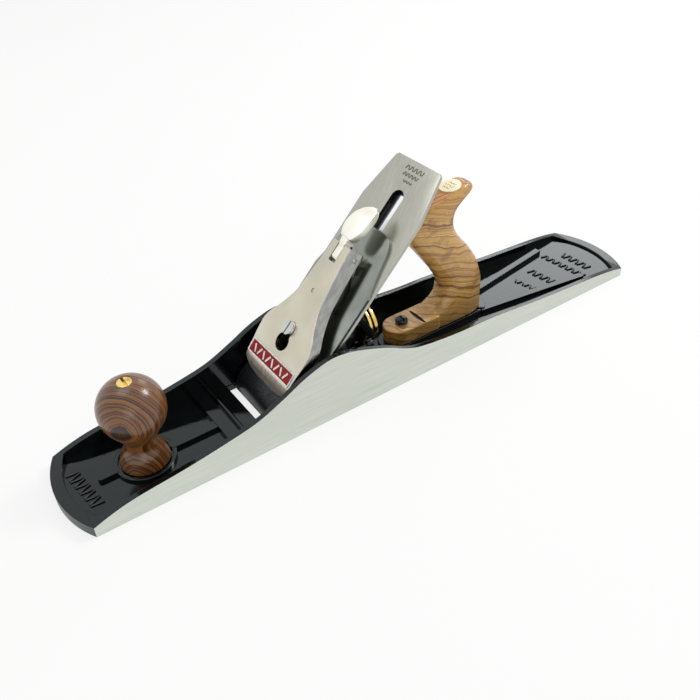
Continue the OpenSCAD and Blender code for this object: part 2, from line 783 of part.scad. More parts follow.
module cap_iron_screw() {
    color("silver") on_bed() translate([cap_screw_s, 0, 0]) difference() {
        union() {
            translate([0, 0, -cap_screw_head_t]) cylinder(h = cap_screw_head_t, r = cap_screw_head_r);
            cylinder(h = cap_iron_off + 1, r = cap_screw_r);
        }
        translate([-0.8, -10, -cap_screw_head_t - 1]) cube([1.6, 20, 2]);
    }
}

// Lever cap: stations up the slope, with its half width and the height of its face
cap_low_s = 18.7;
cap_width = [
    [cap_low_s, 9], [19.3, 13], [20.2, 17.7], [22, 22], [24.8, 25.4], [28.6, 27], [37.7, 27.8],
    [45.7, 28.6], [54.7, 28.2],
    [61.7, 25.4], [67.7, 21.4], [77.7, 16.5], [84.7, 14.2], [90, 13.4], [105.7, 11.3],
    [lever_cap_top_s, 9.4]
];
cap_rise = [
    [cap_low_s, face_off - 11.2], [20.8, face_off - 8.6], [24.2, face_off - 5.6],
    [28, face_off - 3.9], [39, face_off - 3.2], [55, face_off - 2], [90, face_off - 0.8],
    [lever_cap_top_s, face_off]
];
cap_rim = [
    [cap_low_s, cap_iron_off + hump_h - 0.3], [26, cap_iron_off + hump_h + 0.6], [32, flange_off - 1.2],
    [40, flange_off], [lever_cap_top_s, flange_off]
];
cap_flare = [[cap_low_s, 0.3], [45, 0.5], [60, 0.8], [80, 2.2], [lever_cap_top_s, 3.4]];
cap_outline = spline(cap_width, 3);
cap_front_s = 27;

// One ring of the lever cap at s, its walls pulled in by wall
function cap_ring(s, w, wall, drop) =
    let (
        top = table(cap_rise, s) - wall,
        low = table(cap_rim, s) - drop,
        flare = table(cap_flare, s),
        a = w * width_k - wall,
        b = w * width_k + flare - wall,
        shoulder = low + (top - low) * 0.6
    )
    [[s, -b, low], [s, b, low], [s, a + flare * 0.25, shoulder], [s, a - 0.5, top - 0.6],
        [s, a - 1.6, top], [s, -a + 1.6, top], [s, -a + 0.5, top - 0.6], [s, -a - flare * 0.25, shoulder]];

module lever_cap() {
    inner = [for (p = cap_outline) if (p[0] > cap_front_s + 3) p];
    last = cap_outline[len(cap_outline) - 1];
    color("silver") on_bed() difference() {
        loft([for (p = cap_outline) cap_ring(p[0], p[1], 0, 0)]);
        loft([
            for (p = inner) cap_ring(p[0], p[1], lever_cap_t, 4),
            let (r = cap_ring(last[0], last[1], lever_cap_t, 4)) [for (q = r) q + [2, 0, 0]]
        ]);
        // Keyhole
        linear_extrude(60) {
            translate([keyhole_s, 0]) circle(keyhole_r);
            translate([keyhole_s - keyhole_l, 0]) circle(keyhole_big_r);
            translate([keyhole_s - keyhole_l, -keyhole_r]) square([keyhole_l, 2 * keyhole_r]);
        }
        // Notch for the cam lever, and the hole of its pin
        translate([cam_pin_s - cam_r - cam_throw, -cam_w / 2 - gap, 0]) cube([40, cam_w + 2 * gap, 60]);
        translate([cam_pin_s, 0, cam_pin_off]) rod_y(60, cam_pin_r + run_fit);
        // Seat and hole of the spring rivet
        translate([spring_rivet_s, 0, 0]) cylinder(h = 60, r = spring_rivet_r + run_fit);
    }
}

spring_rivet_s = cam_pin_s - 30;
spring_rivet_r = 1.5;
spring_w = 12;

module lever_cap_spring() {
    // Riveted under the cap, then down to lie over the cap iron beneath the cam
    top = table(cap_rise, spring_rivet_s - 5) - lever_cap_t - 0.1;
    low = spring_low_off + spring_t;
    upper = spline([
        [spring_rivet_s - 5, top], [spring_rivet_s + 5, top], [spring_rivet_s + 13, top - 3.6],
        [cam_pin_s - 9, low + 1.4], [cam_pin_s - 2, low], [cam_pin_s + 5, low + 0.3]
    ], 4);
    color("darkgray") on_bed() difference() {
        across(spring_w) polygon(concat(
            upper, [for (i = [len(upper) - 1 : -1 : 0]) upper[i] - [0, spring_t]]
        ));
        translate([spring_rivet_s, 0, 0]) cylinder(h = 60, r = spring_rivet_r + run_fit);
    }
}

module spring_rivet() {
    under = table(cap_rise, spring_rivet_s - 5) - lever_cap_t - 0.1 - spring_t;
    face = table(cap_rise, spring_rivet_s);
    color("silver") on_bed() translate([spring_rivet_s, 0, 0]) {
        translate([0, 0, under - 1]) cylinder(h = 1, r = spring_rivet_r + 1.2);
        translate([0, 0, under - 0.5]) cylinder(h = face - under, r = spring_rivet_r);
    }
}

// Cam lever: an eccentric on its pin, a stem and a round thumb head
module cam_lever() {
    lobe = [cam_pin_s, cam_pin_off - cam_throw];
    rise = face_off + 0.6;
    top = spline([
        [cam_pin_s - 2, cam_pin_off + 3], [cam_pin_s + 4, rise - 0.6], [cam_pin_s + cam_l * 0.27, rise],
        [cam_pin_s + cam_l * 0.5, rise - 0.6], [cam_pin_s + cam_l * 0.75, rise - 2.8],
        [cam_pin_s + cam_l * 0.93, rise - 6.2], [cam_pin_s + cam_l, rise - 9]
    ], 4);
    low = spline([
        [cam_pin_s + cam_l, rise - 9.8], [cam_pin_s + cam_l * 0.87, rise - 9],
        [cam_pin_s + cam_l * 0.66, rise - 7], [cam_pin_s + cam_l * 0.4, rise - 5.6],
        [cam_pin_s + cam_l * 0.25, rise - 6], [cam_pin_s + 4, cam_pin_off - 3]
    ], 4);
    head = spline([
        [cam_pin_s - 10, cam_w / 2], [cam_pin_s + cam_l * 0.2, cam_w / 2],
        [cam_pin_s + cam_l * 0.28, cam_w / 2 + 2.4], [cam_pin_s + cam_l * 0.4, 7.8],
        [cam_pin_s + cam_l * 0.55, 9], [cam_pin_s + cam_l * 0.75, 8.4],
        [cam_pin_s + cam_l * 0.92, 5.4], [cam_pin_s + cam_l, 1.6]
    ], 4);
    color("gainsboro") on_bed() difference() {
        union() {
            translate([lobe[0], 0, lobe[1]]) rod_y(cam_w, cam_r);
            intersection() {
                across(30) polygon(concat(top, low));
                linear_extrude(60)
                    polygon(concat(head, [for (i = [len(head) - 1 : -1 : 0]) [head[i][0], -head[i][1]]]));
            }
        }
        translate([cam_pin_s, 0, cam_pin_off]) rod_y(60, cam_pin_r + run_fit);
    }
}

module cam_pin() {
    reach = table(cap_width, cam_pin_s) * width_k + table(cap_flare, cam_pin_s) * 0.6;
    color("silver") on_bed() translate([cam_pin_s, 0, cam_pin_off]) rod_y(2 * reach, cam_pin_r);
}

// Lever cap screw
module lever_cap_screw() {
    seat = table(cap_rise, keyhole_s) + gap;
    head = 2.2;
    color("gainsboro") on_bed() translate([keyhole_s, 0, 0]) difference() {
        union() {
            translate([0, 0, -plate_t - 5]) cylinder(h = plate_t + 5 + seat + 1, r = cap_bolt_r);
            translate([0, 0, seat]) cylinder(h = head, r = cap_bolt_head_r);
        }
        translate([-cap_bolt_head_r - 1, -0.6, seat + head - 1.1]) cube([2 * cap_bolt_head_r + 2, 1.2, 3]);
    }
}

// Knob, its bolt and its nut
knob_nut_l = 9;
knob_recess_r = knob_nut_r + 0.6;
knob_recess = 1;

module knob() {
    ball_z = knob_h - knob_r;
    neck_z = 18.4;
    profile = concat(
        spline([
            [knob_foot_r - 1, 0], [knob_foot_r, 1.2], [knob_foot_r - 0.4, 3.4], [knob_foot_r - 2.3, 9],
            [knob_neck_r + 0.3, neck_z - 4], [knob_neck_r, neck_z],
            [knob_neck_r + 0.6, neck_z + 2.4], [knob_r * sin(50), ball_z - knob_r * cos(50)]
        ], 4),
        [for (a = [56 : 6 : 158]) [knob_r * sin(a), ball_z - knob_r * cos(a)]],
        [[knob_recess_r, knob_h - 0.8]]
    );
    color("saddlebrown") translate([knob_x, 0, knob_pad_h]) difference() {
        rotate_extrude($fn = 96) polygon(concat([[0, 0]], profile, [[0, knob_h - 0.8]]));
        translate([0, 0, -1]) cylinder(h = knob_h, r = knob_bolt_r + run_fit);
        translate([0, 0, knob_h - knob_recess - knob_nut_l])
            cylinder(h = knob_nut_l + 10, r = knob_nut_r + run_fit);
        translate([0, 0, knob_h - knob_recess]) cylinder(h = 10, r = knob_recess_r);
    }
}

module knob_nut() {
    top = knob_pad_h + knob_h - knob_recess;
    color("goldenrod") translate([knob_x, 0, top - knob_nut_l]) difference() {
        cylinder(h = knob_nut_l, r = knob_nut_r);
        translate([0, 0, -1]) cylinder(h = knob_nut_l - 1, r = knob_bolt_r + run_fit);
        translate([-0.8, -knob_nut_r - 1, knob_nut_l - 1.4]) cube([1.6, 2 * knob_nut_r + 2, 3]);
    }
}

module knob_bolt() {
    low = screw_floor + cut;
    top = knob_pad_h + knob_h - knob_recess - 3;
    color("silver") translate([knob_x, 0, low]) cylinder(h = top - low, r = knob_bolt_r);
}

// Tote: each station joins a point of the front edge to one of the rear edge, from
// the boss up to the tip of the horn, with its half thickness beside them
tote_k = tote_reach / 84.5;
tote_z = tote_h / 101.5;
tote_stations = [
    [[28, 0], [84.5, 0], 1], [[28, 10.6], [84.5, 12], 1], [[34, 13], [84.6, 17], 1],
    [[40.5, 15.8], [84.3, 22], 1], [[45.6, 20.6], [83.5, 28], 1], [[48.2, 29.2], [81.2, 35.2], 1],
    [[45.2, 37.4], [77.8, 44.3], 1], [[40.3, 45.2], [73.7, 51], 1], [[34.8, 53], [69.2, 57.5], 1],
    [[29, 61], [64.1, 63.5], 1], [[23.7, 68.1], [59.8, 69.4], 1], [[19.6, 74.6], [57.3, 74.6], 1],
    [[16.8, 80.5], [56.1, 79.4], 1], [[15.4, 87.5], [56.4, 83.8], 1], [[21, 92.6], [57.8, 88.1], 0.98],
    [[32, 97.4], [59.8, 91.1], 0.96], [[43, 101.4], [62.2, 93.5], 0.93], [[52, 104.3], [65.2, 95.6], 0.88],
    [[60, 105.9], [68.2, 97.2], 0.81], [[66.4, 106], [70.6, 98.8], 0.7], [[70.4, 104.6], [72, 100.6], 0.5]
];
toe_screw_x = tote_x + 14;
toe_screw_r = 2.2;
tote_toe_h = 11.4;
tote_top = [tote_x + 32.5 * tote_k, tote_boss_h + 98 * tote_z];
tote_foot = [tote_x + 65 * tote_k, tote_boss_h - 0.5];
tote_lean = atan2(tote_foot[0] - tote_top[0], tote_top[1] - tote_foot[1]);
tote_nut_sink = 2.5;
tote_nut_l = 8;
tote_bolt_l = norm(tote_top - tote_foot) + (tote_boss_h - screw_floor - 2) / cos(tote_lean);

// Puts a shape on the tote bolt's line: its origin at the top of the tote, +Z up the bolt
module on_tote_bolt() translate([tote_top[0], 0, tote_top[1]]) rotate([0, -tote_lean, 0]) children();

// A rounded ring across one tote station
function tote_ring(a, b, half) =
    let (mid = (a + b) / 2, arm = (b - a) / 2, power = 0.72)
    [for (k = [0 : 19])
        let (
            t = k * 18,
            c = sign(cos(t)) * pow(abs(cos(t)), power),
            e = sign(sin(t)) * pow(abs(sin(t)), power)
        )
        [tote_x + (mid[0] + arm[0] * c) * tote_k, half * e, tote_boss_h + (mid[1] + arm[1] * c) * tote_z]];

module tote() {
    half = tote_t / 2;
    color("peru") difference() {
        union() {
            loft([for (p = tote_stations) tote_ring(p[0], p[1], half * p[2])]);
            translate([0, 0, tote_boss_h]) linear_extrude(tote_toe_h) intersection() {
                bar([tote_x + half, 0], [tote_x + 45, 0], half);
                translate([tote_x, -half]) square([40, tote_t]);
            }
        }
        on_tote_bolt() {
            translate([0, 0, -2 * tote_bolt_l]) cylinder(h = 2 * tote_bolt_l, r = tote_bolt_r + run_fit);
            translate([0, 0, -tote_nut_sink - tote_nut_l]) cylinder(h = 30, r = tote_nut_r + run_fit);
        }
        translate([toe_screw_x, 0, 0]) cylinder(h = 60, r = toe_screw_r + run_fit);
        translate([label_x, 0, label_z]) rotate([0, label_tilt, 0]) cylinder(h = 10, r = label_r + 0.1);
    }
}

module tote_nut() {
    color("goldenrod") on_tote_bolt() translate([0, 0, -tote_nut_sink - tote_nut_l]) difference() {
        cylinder(h = tote_nut_l, r = tote_nut_r);
        translate([0, 0, -1]) cylinder(h = tote_nut_l - 1, r = tote_bolt_r + run_fit);
        translate([-0.8, -tote_nut_r - 1, tote_nut_l - 1.4]) cube([1.6, 2 * tote_nut_r + 2, 3]);
    }
}

module tote_bolt() {
    top = -tote_nut_sink - 3;
    color("silver") on_tote_bolt()
        translate([0, 0, cut - tote_bolt_l]) cylinder(h = tote_bolt_l + top - cut, r = tote_bolt_r);
}

module tote_toe_screw() {
    seat = tote_boss_h + tote_toe_h;
    dome = 2.2;
    dome_r = (pow(toe_screw_head_r, 2) + pow(dome, 2)) / (2 * dome);
    color("black") translate([toe_screw_x, 0, 0]) difference() {
        union() {
            translate([0, 0, screw_floor + cut]) cylinder(h = seat - screw_floor, r = toe_screw_r);
            intersection() {
                translate([0, 0, seat + dome - dome_r]) sphere(dome_r, $fn = 96);
                translate([0, 0, seat]) cylinder(h = 10, r = toe_screw_head_r);
            }
        }
        translate([-0.6, -toe_screw_head_r - 1, seat + dome - 1.1]) cube([1.2, 2 * toe_screw_head_r + 2, 3]);
    }
}

// Round label, let into the top of the horn
label_x = tote_x + 56 * tote_k;
label_z = tote_boss_h + 104.2 * tote_z;
label_tilt = -8;
label_t = 0.8;

module tote_label() {
    color("ivory") translate([label_x, 0, label_z]) rotate([0, label_tilt, 0])
        cylinder(h = label_t, r = label_r);
}

plane_body();
frog();
frog_clamp_screws();
frog_clamp_washers();
frog_adjusting_screw();
frog_adjusting_clip();
frog_clip_screw();
depth_stud();
depth_wheel();
y_lever();
y_lever_pin();
lateral_lever();
lateral_roller();
lateral_rivet();
cutting_iron();
cap_iron();
cap_iron_screw();
lever_cap();
lever_cap_spring();
spring_rivet();
cam_lever();
cam_pin();
lever_cap_screw();
knob();
knob_bolt();
knob_nut();
tote();
tote_bolt();
tote_nut();
tote_toe_screw();
tote_label();
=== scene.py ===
# %% [markdown]
# # A fore plane, dressed
# The solids of this plane are already built and packed, so nothing here decides a size.
# This lesson gives each solid the surface of the real piece: softened edges, turned and
# carved forms, and a finish worked out from how the piece is made. We start by loading
# the imported model. The looks have to stay inside it.

# %% Load the imported model
import json
import math

import bpy
from mathutils import Matrix, Vector

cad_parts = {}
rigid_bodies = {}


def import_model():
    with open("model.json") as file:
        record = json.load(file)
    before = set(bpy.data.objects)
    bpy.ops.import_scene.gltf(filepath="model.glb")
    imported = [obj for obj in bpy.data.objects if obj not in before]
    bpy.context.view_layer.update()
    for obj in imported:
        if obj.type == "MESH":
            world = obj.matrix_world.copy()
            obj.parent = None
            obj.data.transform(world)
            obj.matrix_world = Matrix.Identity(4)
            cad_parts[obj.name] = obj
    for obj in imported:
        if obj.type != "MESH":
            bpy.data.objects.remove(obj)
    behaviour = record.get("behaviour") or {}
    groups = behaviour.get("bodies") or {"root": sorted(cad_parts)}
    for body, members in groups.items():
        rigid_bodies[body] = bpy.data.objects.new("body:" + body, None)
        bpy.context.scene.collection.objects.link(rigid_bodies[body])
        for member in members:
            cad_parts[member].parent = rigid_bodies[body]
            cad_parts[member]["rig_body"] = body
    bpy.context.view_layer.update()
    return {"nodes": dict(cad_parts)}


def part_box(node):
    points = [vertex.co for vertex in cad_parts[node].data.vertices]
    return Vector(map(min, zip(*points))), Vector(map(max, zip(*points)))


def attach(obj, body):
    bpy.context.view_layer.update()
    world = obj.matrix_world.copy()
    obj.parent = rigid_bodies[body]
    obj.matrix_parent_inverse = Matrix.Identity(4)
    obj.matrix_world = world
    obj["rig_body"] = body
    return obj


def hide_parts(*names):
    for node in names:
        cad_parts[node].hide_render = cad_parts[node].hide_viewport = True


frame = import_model()
MM = 0.001

# %% [markdown]
# ## The camera
# The plane is seen from above its toe, on the near side. The place and the turn were worked
# out from points whose real places are known, such as the corners of the casting, so the
# camera is set from three directions: where it looks, what is right, and what is up.
# A look-at helper would lose the small roll that the photograph has.

# %% Camera
CAMERA_PLACE = Vector((-0.2578, -0.38245, 0.36771))
LOOK = Vector((0.42106, 0.668, -0.61358)).normalized()
UP = Vector((0.82281, -0.56597, -0.05152)).normalized().cross(LOOK).normalized()
RIGHT = LOOK.cross(UP).normalized()
FOCAL_LENGTH_PIXELS, PICTURE_WIDTH_PIXELS = 827.2, 700

lens = bpy.data.cameras.new("camera")
lens.sensor_width = 36
lens.lens = FOCAL_LENGTH_PIXELS / PICTURE_WIDTH_PIXELS * lens.sensor_width
lens.clip_start, lens.clip_end = 0.01, 20
camera = bpy.data.objects.new("camera", lens)
turn = Matrix((RIGHT, UP, -LOOK)).transposed()
camera.matrix_world = Matrix.Translation(CAMERA_PLACE) @ turn.to_4x4()
bpy.context.scene.collection.objects.link(camera)
bpy.context.scene.camera = camera
print("camera lens", round(lens.lens, 2), "mm")

# %% [markdown]
# ## Small helpers for finishes
# Every finish below is a handful of shader nodes. One function turns a colour as a designer
# writes it, sRGB hex, into the linear numbers that shaders need. Another adds one node
# with its settings and its links, so that each finish reads as a short list.

# %% Colour, node and material
def linear(colour):
    """An sRGB hex colour as the linear red, green, blue and alpha of a shader."""
    parts = [int(colour[i:i + 2], 16) / 255 for i in (1, 3, 5)]
    parts = [p / 12.92 if p <= 0.04045 else ((p + 0.055) / 1.055) ** 2.4 for p in parts]
    return (*parts, 1.0)


def add(tree, kind, settings=None, links=None, stops=None, **properties):
    """Adds one shader node with its properties, its sockets' values, its links and its stops."""
    node = tree.nodes.new("ShaderNode" + kind)
    for name, value in properties.items():
        setattr(node, name, value)
    for socket, value in (settings or {}).items():
        node.inputs[socket].default_value = value
    for socket, output in (links or {}).items():
        tree.links.new(output, node.inputs[socket])
    if stops:
        ramp = node.color_ramp.elements
        while len(ramp) < len(stops):
            ramp.new(1.0)
        for element, (place, colour) in zip(ramp, stops):
            element.position, element.color = place, linear(colour)
    return node


def finish(name, colour, roughness, **sockets):
    """A new material: its tree and its Principled shader, with plain values on the shader."""
    material = bpy.data.materials.new(name)
    material.use_nodes = True
    tree = material.node_tree
    shader = tree.nodes["Principled BSDF"]
    shader.inputs["Base Color"].default_value = linear(colour)
    shader.inputs["Roughness"].default_value = roughness
    for socket, value in sockets.items():
        shader.inputs[socket.replace("_", " ")].default_value = value
    return material, tree, shader

print("helpers ready")

# %% [markdown]
# ## One pattern for most surfaces
# Belt lines, pits, pores and clouds are all noise. What differs is the size of its grains
# along three directions, so a pattern is given by those sizes in real millimetres. That
# works because every piece sits at the origin, and its Object coordinates are metres.
# Most finishes then let one pattern do two things: tint the surface, and raise it a little.

# %% Grain
def stretched(tree, size_mm, turn_deg=(0, 0, 0), detail=3.0):
    """Noise whose grains measure size_mm along x, y and z, after a turn."""
    place = add(tree, "TexCoord")
    turned = add(tree, "Mapping", {"Rotation": [math.radians(a) for a in turn_deg]},
                 {"Vector": place.outputs["Object"]}, vector_type="TEXTURE")
    grain = add(tree, "Mapping", {"Scale": [1 / (s * MM) for s in size_mm]},
                {"Vector": turned.outputs[0]})
    noise = add(tree, "TexNoise", {"Scale": 1.0, "Detail": detail}, {"Vector": grain.outputs[0]})
    return noise.outputs["Fac"]


def work(tree, shader, tint, stops, depth_mm=0, relief=None):
    """Tints a surface by one pattern, and raises it by depth_mm: by the same, or by relief."""
    shade = add(tree, "ValToRGB", None, {"Fac": tint}, stops=stops)
    tree.links.new(shade.outputs[0], shader.inputs["Base Color"])
    if depth_mm:
        bump = add(tree, "Bump", {"Strength": 1.0, "Distance": depth_mm * MM},
                   {"Height": tint if relief is None else relief})
        tree.links.new(bump.outputs[0], shader.inputs["Normal"])


def grained(name, colour, roughness, size_mm, stops, depth_mm=0, turn_deg=(0, 0, 0), detail=3,
            **sockets):
    """A finish with one pattern, which tints it and raises it."""
    material, tree, shader = finish(name, colour, roughness, **sockets)
    work(tree, shader, stretched(tree, size_mm, turn_deg, detail), stops, depth_mm)
    return material


def uneven_gloss(material, low, high, size_mm):
    """Lets slow noise move a finish's roughness between low and high."""
    tree = material.node_tree
    spread = add(tree, "MapRange", {"To Min": low, "To Max": high},
                 {"Value": stretched(tree, size_mm)})
    tree.links.new(spread.outputs[0], tree.nodes["Principled BSDF"].inputs["Roughness"])

print("grain ready")

# %% [markdown]
# ## Iron and enamel of the casting
# The casting is grey iron. Its cheeks, sole and ends are ground on a belt, which leaves fine
# straight lines along the body and a pale, even sheen. All the rest is dipped in black stove
# enamel, glossy, with the slow waves that a thick coat leaves over sand-cast iron. An image
# could hold all this, but noise at a real size stays sharp from any distance.

# %% Casting finishes
# Ground grey iron: belt lines 0.3 mm apart and several centimetres long, pale and satin.
ground_iron = grained("ground_cast_iron", "#CDD1C8", 0.42, (45, 0.5, 0.28),
                      [(0.3, "#C3C8BF"), (0.52, "#D3D7CE"), (0.75, "#DEE1D9")], 0.006,
                      detail=4, Metallic=1.0)
uneven_gloss(ground_iron, 0.34, 0.5, (60, 30, 6))

# Black stove enamel: deep black, wet gloss, slow waves 9 mm long with fine pits in them.
black_enamel, tree, shader = finish("black_stove_enamel", "#030404", 0.05, IOR=1.5,
                                    Specular_Tint=linear("#E6F2F2"))
waves = stretched(tree, (9, 9, 9), detail=2)
pits = stretched(tree, (1.3, 1.3, 1.3), detail=2)
both = add(tree, "MixRGB", {0: 0.25}, {1: waves, 2: pits})
work(tree, shader, waves, [(0.3, "#020303"), (0.7, "#070A0B")], 0.09, relief=both.outputs[0])
uneven_gloss(black_enamel, 0.03, 0.12, (22, 22, 22))

# The curved ends are ground too, but darker: a thin wash of enamel is left in the lines.
washed_iron = grained("washed_ground_iron", "#4A5050", 0.36, (12, 40, 0.3),
                      [(0.3, "#2E3434"), (0.55, "#4C5353"), (0.75, "#6A7070")], 0.01,
                      detail=4, Metallic=0.8)

# Machined iron of the frog: milled, oiled, a little blue.
milled_iron = grained("milled_frog_iron", "#88928F", 0.38, (0.8, 30, 0.5),
                      [(0.3, "#6F7A7C"), (0.6, "#8D9798"), (0.8, "#A4ACAB")], 0.01, Metallic=1.0)
print("casting finishes:", ground_iron.name, black_enamel.name, milled_iron.name)

# %% [markdown]
# ## Steels of the blade
# The cutting iron is surface ground, so its fine lines run across it at a slant. The cap
# iron is darker, with small pits from its scale. The lever cap is a casting whose face is
# brushed to a satin, whose bevel is coarser, and whose sides stay as cast. The cam lever is
# buffed until it is nearly white. They differ in grain and gloss more than in colour, so
# each gets its own pattern and a colour only a few steps from the next.

# %% Blade finishes
# Surface-ground tool steel: grinding lines 0.2 mm apart, slanting over the blade.
ground_steel = grained("ground_tool_steel", "#ABABA0", 0.34, (0.22, 16, 10),
                       [(0.28, "#A6A79D"), (0.5, "#AFAFA5"), (0.74, "#B9B9B0")], 0.006,
                       turn_deg=(0, 45, 40), detail=4, Metallic=1.0)
uneven_gloss(ground_steel, 0.28, 0.42, (30, 9, 30))

# The walls of the iron's slot are punched, not ground: torn, and dark with scale.
# The same dark finish is painted on the cap iron's nose as painted shade.
slot_scale_and_nose_shade = grained("punched_slot_wall_and_painted_nose_shade", "#33353A", 0.4, (1, 1, 1),
                     [(0.3, "#222326"), (0.7, "#4A4C50")], 0.05, Metallic=0.9)

# Cap iron: hardened strip, greenish grey, clouded, smooth enough to mirror what is near it.
cap_steel, tree, shader = finish("clouded_cap_steel", "#8C918D", 0.2, Metallic=1.0)
clouds = stretched(tree, (22, 22, 22))
scale_pits = add(tree, "MapRange", {"From Min": 0.66, "From Max": 0.75},
                 {"Value": stretched(tree, (0.9, 0.9, 0.9), detail=2)})
work(tree, shader, clouds, [(0.3, "#7E837F"), (0.5, "#8F948F"), (0.72, "#A3A7A1")], 0.02,
     relief=scale_pits.outputs[0])
tree.nodes["Bump"].invert = True
tree.nodes["Bump"].inputs["Strength"].default_value = 0.5

# Face of the lever cap: nickel-bright, clouds of a warm white under fine brushing.
cap_face, tree, shader = finish("satin_cap_face", "#C9C5B5", 0.3, Metallic=1.0)
cloud = stretched(tree, (34, 34, 34), detail=2)
work(tree, shader, cloud, [(0.3, "#BFBBAB"), (0.5, "#CCC7B4"), (0.7, "#D6D3C6")], 0.004,
     relief=stretched(tree, (16, 0.35, 16), detail=4))

# The bevel below the badge: shorter, coarser brushing, duller and a little browner.
cap_bevel = grained("brushed_cap_bevel", "#B4AB9E", 0.5, (5, 0.5, 5),
                    [(0.3, "#A3988B"), (0.5, "#B8AFA2"), (0.7, "#CFC8BD")], 0.008,
                    detail=4, Metallic=0.85)

# Sides of the lever cap: as cast, soft lumps of 3 to 9 mm, dull grey.
cap_casting = grained("rough_cap_casting", "#9A9A97", 0.2, (9, 3.2, 3.2),
                      [(0.3, "#8E8E8C"), (0.5, "#9B9B98"), (0.7, "#ABABA6")], 0.35,
                      turn_deg=(0, -45, 0), detail=4, Metallic=1.0)

# Plate of the cam lever: ivory white reflections with faint buffing marks.
cam_plate = grained("buffed_cam_plate", "#F1EEE2", 0.36, (18, 18, 18),
                    [(0.3, "#ECE8DA"), (0.6, "#F8F6EE")], 0.02, detail=2, Metallic=1.0)
print("blade finishes:", ground_steel.name, cap_steel.name, cap_face.name, cam_plate.name)

# %% [markdown]
# ## Screws, levers and brass
# The small parts are turned or blanked from bar and strip. Most stay bright under a film of
# oil. The tote's screw is dipped in black oxide. The lateral lever is blued; a painted
# highlight on the near half of its face and painted shade on the far half make its colour
# follow the place across it. The wheel and the nuts are brass, brown where no finger reaches.

# %% Small metal finishes
bright_steel = grained("bright_steel", "#C4C6C2", 0.26, (9, 9, 9),
                       [(0.3, "#A9ACA9"), (0.6, "#CACCC8")], 0.01, Metallic=1.0)

# The lateral lever: a painted highlight from 0.6 mm on the near side, painted shade in
# blue-black from 1.6 mm on the far side, and streaky between.
lever_with_painted_highlight, tree, shader = finish("blued_steel_with_painted_highlight", "#84888A", 0.3, Metallic=1.0)
across = add(tree, "SeparateXYZ", None, {"Vector": add(tree, "TexCoord").outputs["Object"]})
painted_highlight_across = add(tree, "MapRange", {"From Min": 1.6 * MM, "From Max": -0.6 * MM},
           {"Value": across.outputs["Y"]})
scratches = stretched(tree, (6, 1, 6))
highlight_and_scratches = add(tree, "MixRGB", {0: 0.2}, {1: painted_highlight_across.outputs[0], 2: scratches})
work(tree, shader, highlight_and_scratches.outputs[0], [(0.1, "#2C2F32"), (0.5, "#6A6F72"), (0.8, "#F2F4F4")],
     0.01, relief=scratches)

# Black oxide on the tote's screw: nearly black, with a dull oil sheen.
black_oxide = grained("black_oxide_steel", "#17181A", 0.2, (0.8, 0.8, 0.8),
                      [(0.35, "#101113"), (0.7, "#2B2C2F")], 0.01, Metallic=0.4)

# Turned brass: yellow, rings of the lathe 0.3 mm apart, a touch of tarnish.
brass, tree, shader = finish("turned_brass", "#E5C050", 0.22, Metallic=1.0)
tarnish = stretched(tree, (5, 5, 5), detail=4)
work(tree, shader, tarnish, [(0.28, "#CFA64E"), (0.5, "#EACB78"), (0.75, "#FBE7AE")], 0.008,
     relief=stretched(tree, (0.3, 6, 6), detail=2))

# The floors of the wheel's grooves: the same brass, brown and dull.
groove_brass = grained("tarnished_brass", "#4A3714", 0.42, (3, 3, 3),
                       [(0.3, "#2A1F0C"), (0.7, "#6B5120")], 0.02, detail=4, Metallic=1.0)
print("small metals:", bright_steel.name, lever_with_painted_highlight.name, brass.name)

# %% [markdown]
# ## How a wood is built up
# A tree adds a layer each year, and through so small a piece those layers are nearly flat
# sheets. A ball turned from it shows rings where a sheet lies flat under the surface. So the
# distance along one direction, bent by slow noise, is folded into bands of uneven colour,
# and darker pores are laid over them. A ready wave texture would be too regular.

# %% A wood
RIPPLE_SHARE = 0.12          # the quick bends, as a share of the slow ones


def wood(name, direction, spacing_mm, bend_mm, stops, streaks, roughness, coat):
    """Layers stacked along a direction; streaks are (size, turn, colour, share)."""
    material, tree, shader = finish(name, stops[0][1], roughness, Coat_Weight=coat,
                                    Coat_Roughness=0.2)
    place = add(tree, "TexCoord").outputs["Object"]
    along = add(tree, "VectorMath", {1: Vector(direction).normalized()}, {0: place},
                operation="DOT_PRODUCT")
    slow = stretched(tree, (26, 26, 26), detail=2)
    quick = stretched(tree, (6, 6, 6))
    bend = add(tree, "Math", {1: bend_mm * MM}, {0: slow, 2: along.outputs["Value"]},
               operation="MULTIPLY_ADD")
    ripple = add(tree, "Math", {1: RIPPLE_SHARE * bend_mm * MM}, {0: quick, 2: bend.outputs[0]},
                 operation="MULTIPLY_ADD")
    layers = add(tree, "Math", {1: 1 / (spacing_mm * MM)}, {0: ripple.outputs[0]},
                 operation="MULTIPLY")
    uneven = add(tree, "TexNoise", {"Scale": 1.0, "Detail": 3.0, "Roughness": 0.6},
                 {"W": layers.outputs[0]}, noise_dimensions="1D")
    colour = add(tree, "ValToRGB", None, {"Fac": uneven.outputs["Fac"]}, stops=stops).outputs[0]
    for size_mm, turn_deg, tint, share in streaks:
        pores = add(tree, "MapRange", {"From Min": 0.56, "From Max": 0.7, "To Max": share},
                    {"Value": stretched(tree, size_mm, turn_deg, detail=2)})
        colour = add(tree, "Mix", {7: linear(tint)}, {0: pores.outputs[0], 6: colour},
                     data_type="RGBA").outputs[2]
    tree.links.new(colour, shader.inputs["Base Color"])
    bump = add(tree, "Bump", {"Strength": 0.5, "Distance": 0.04 * MM},
               {"Height": uneven.outputs["Fac"]})
    tree.links.new(bump.outputs[0], shader.inputs["Normal"])
    return material

print("wood ready")
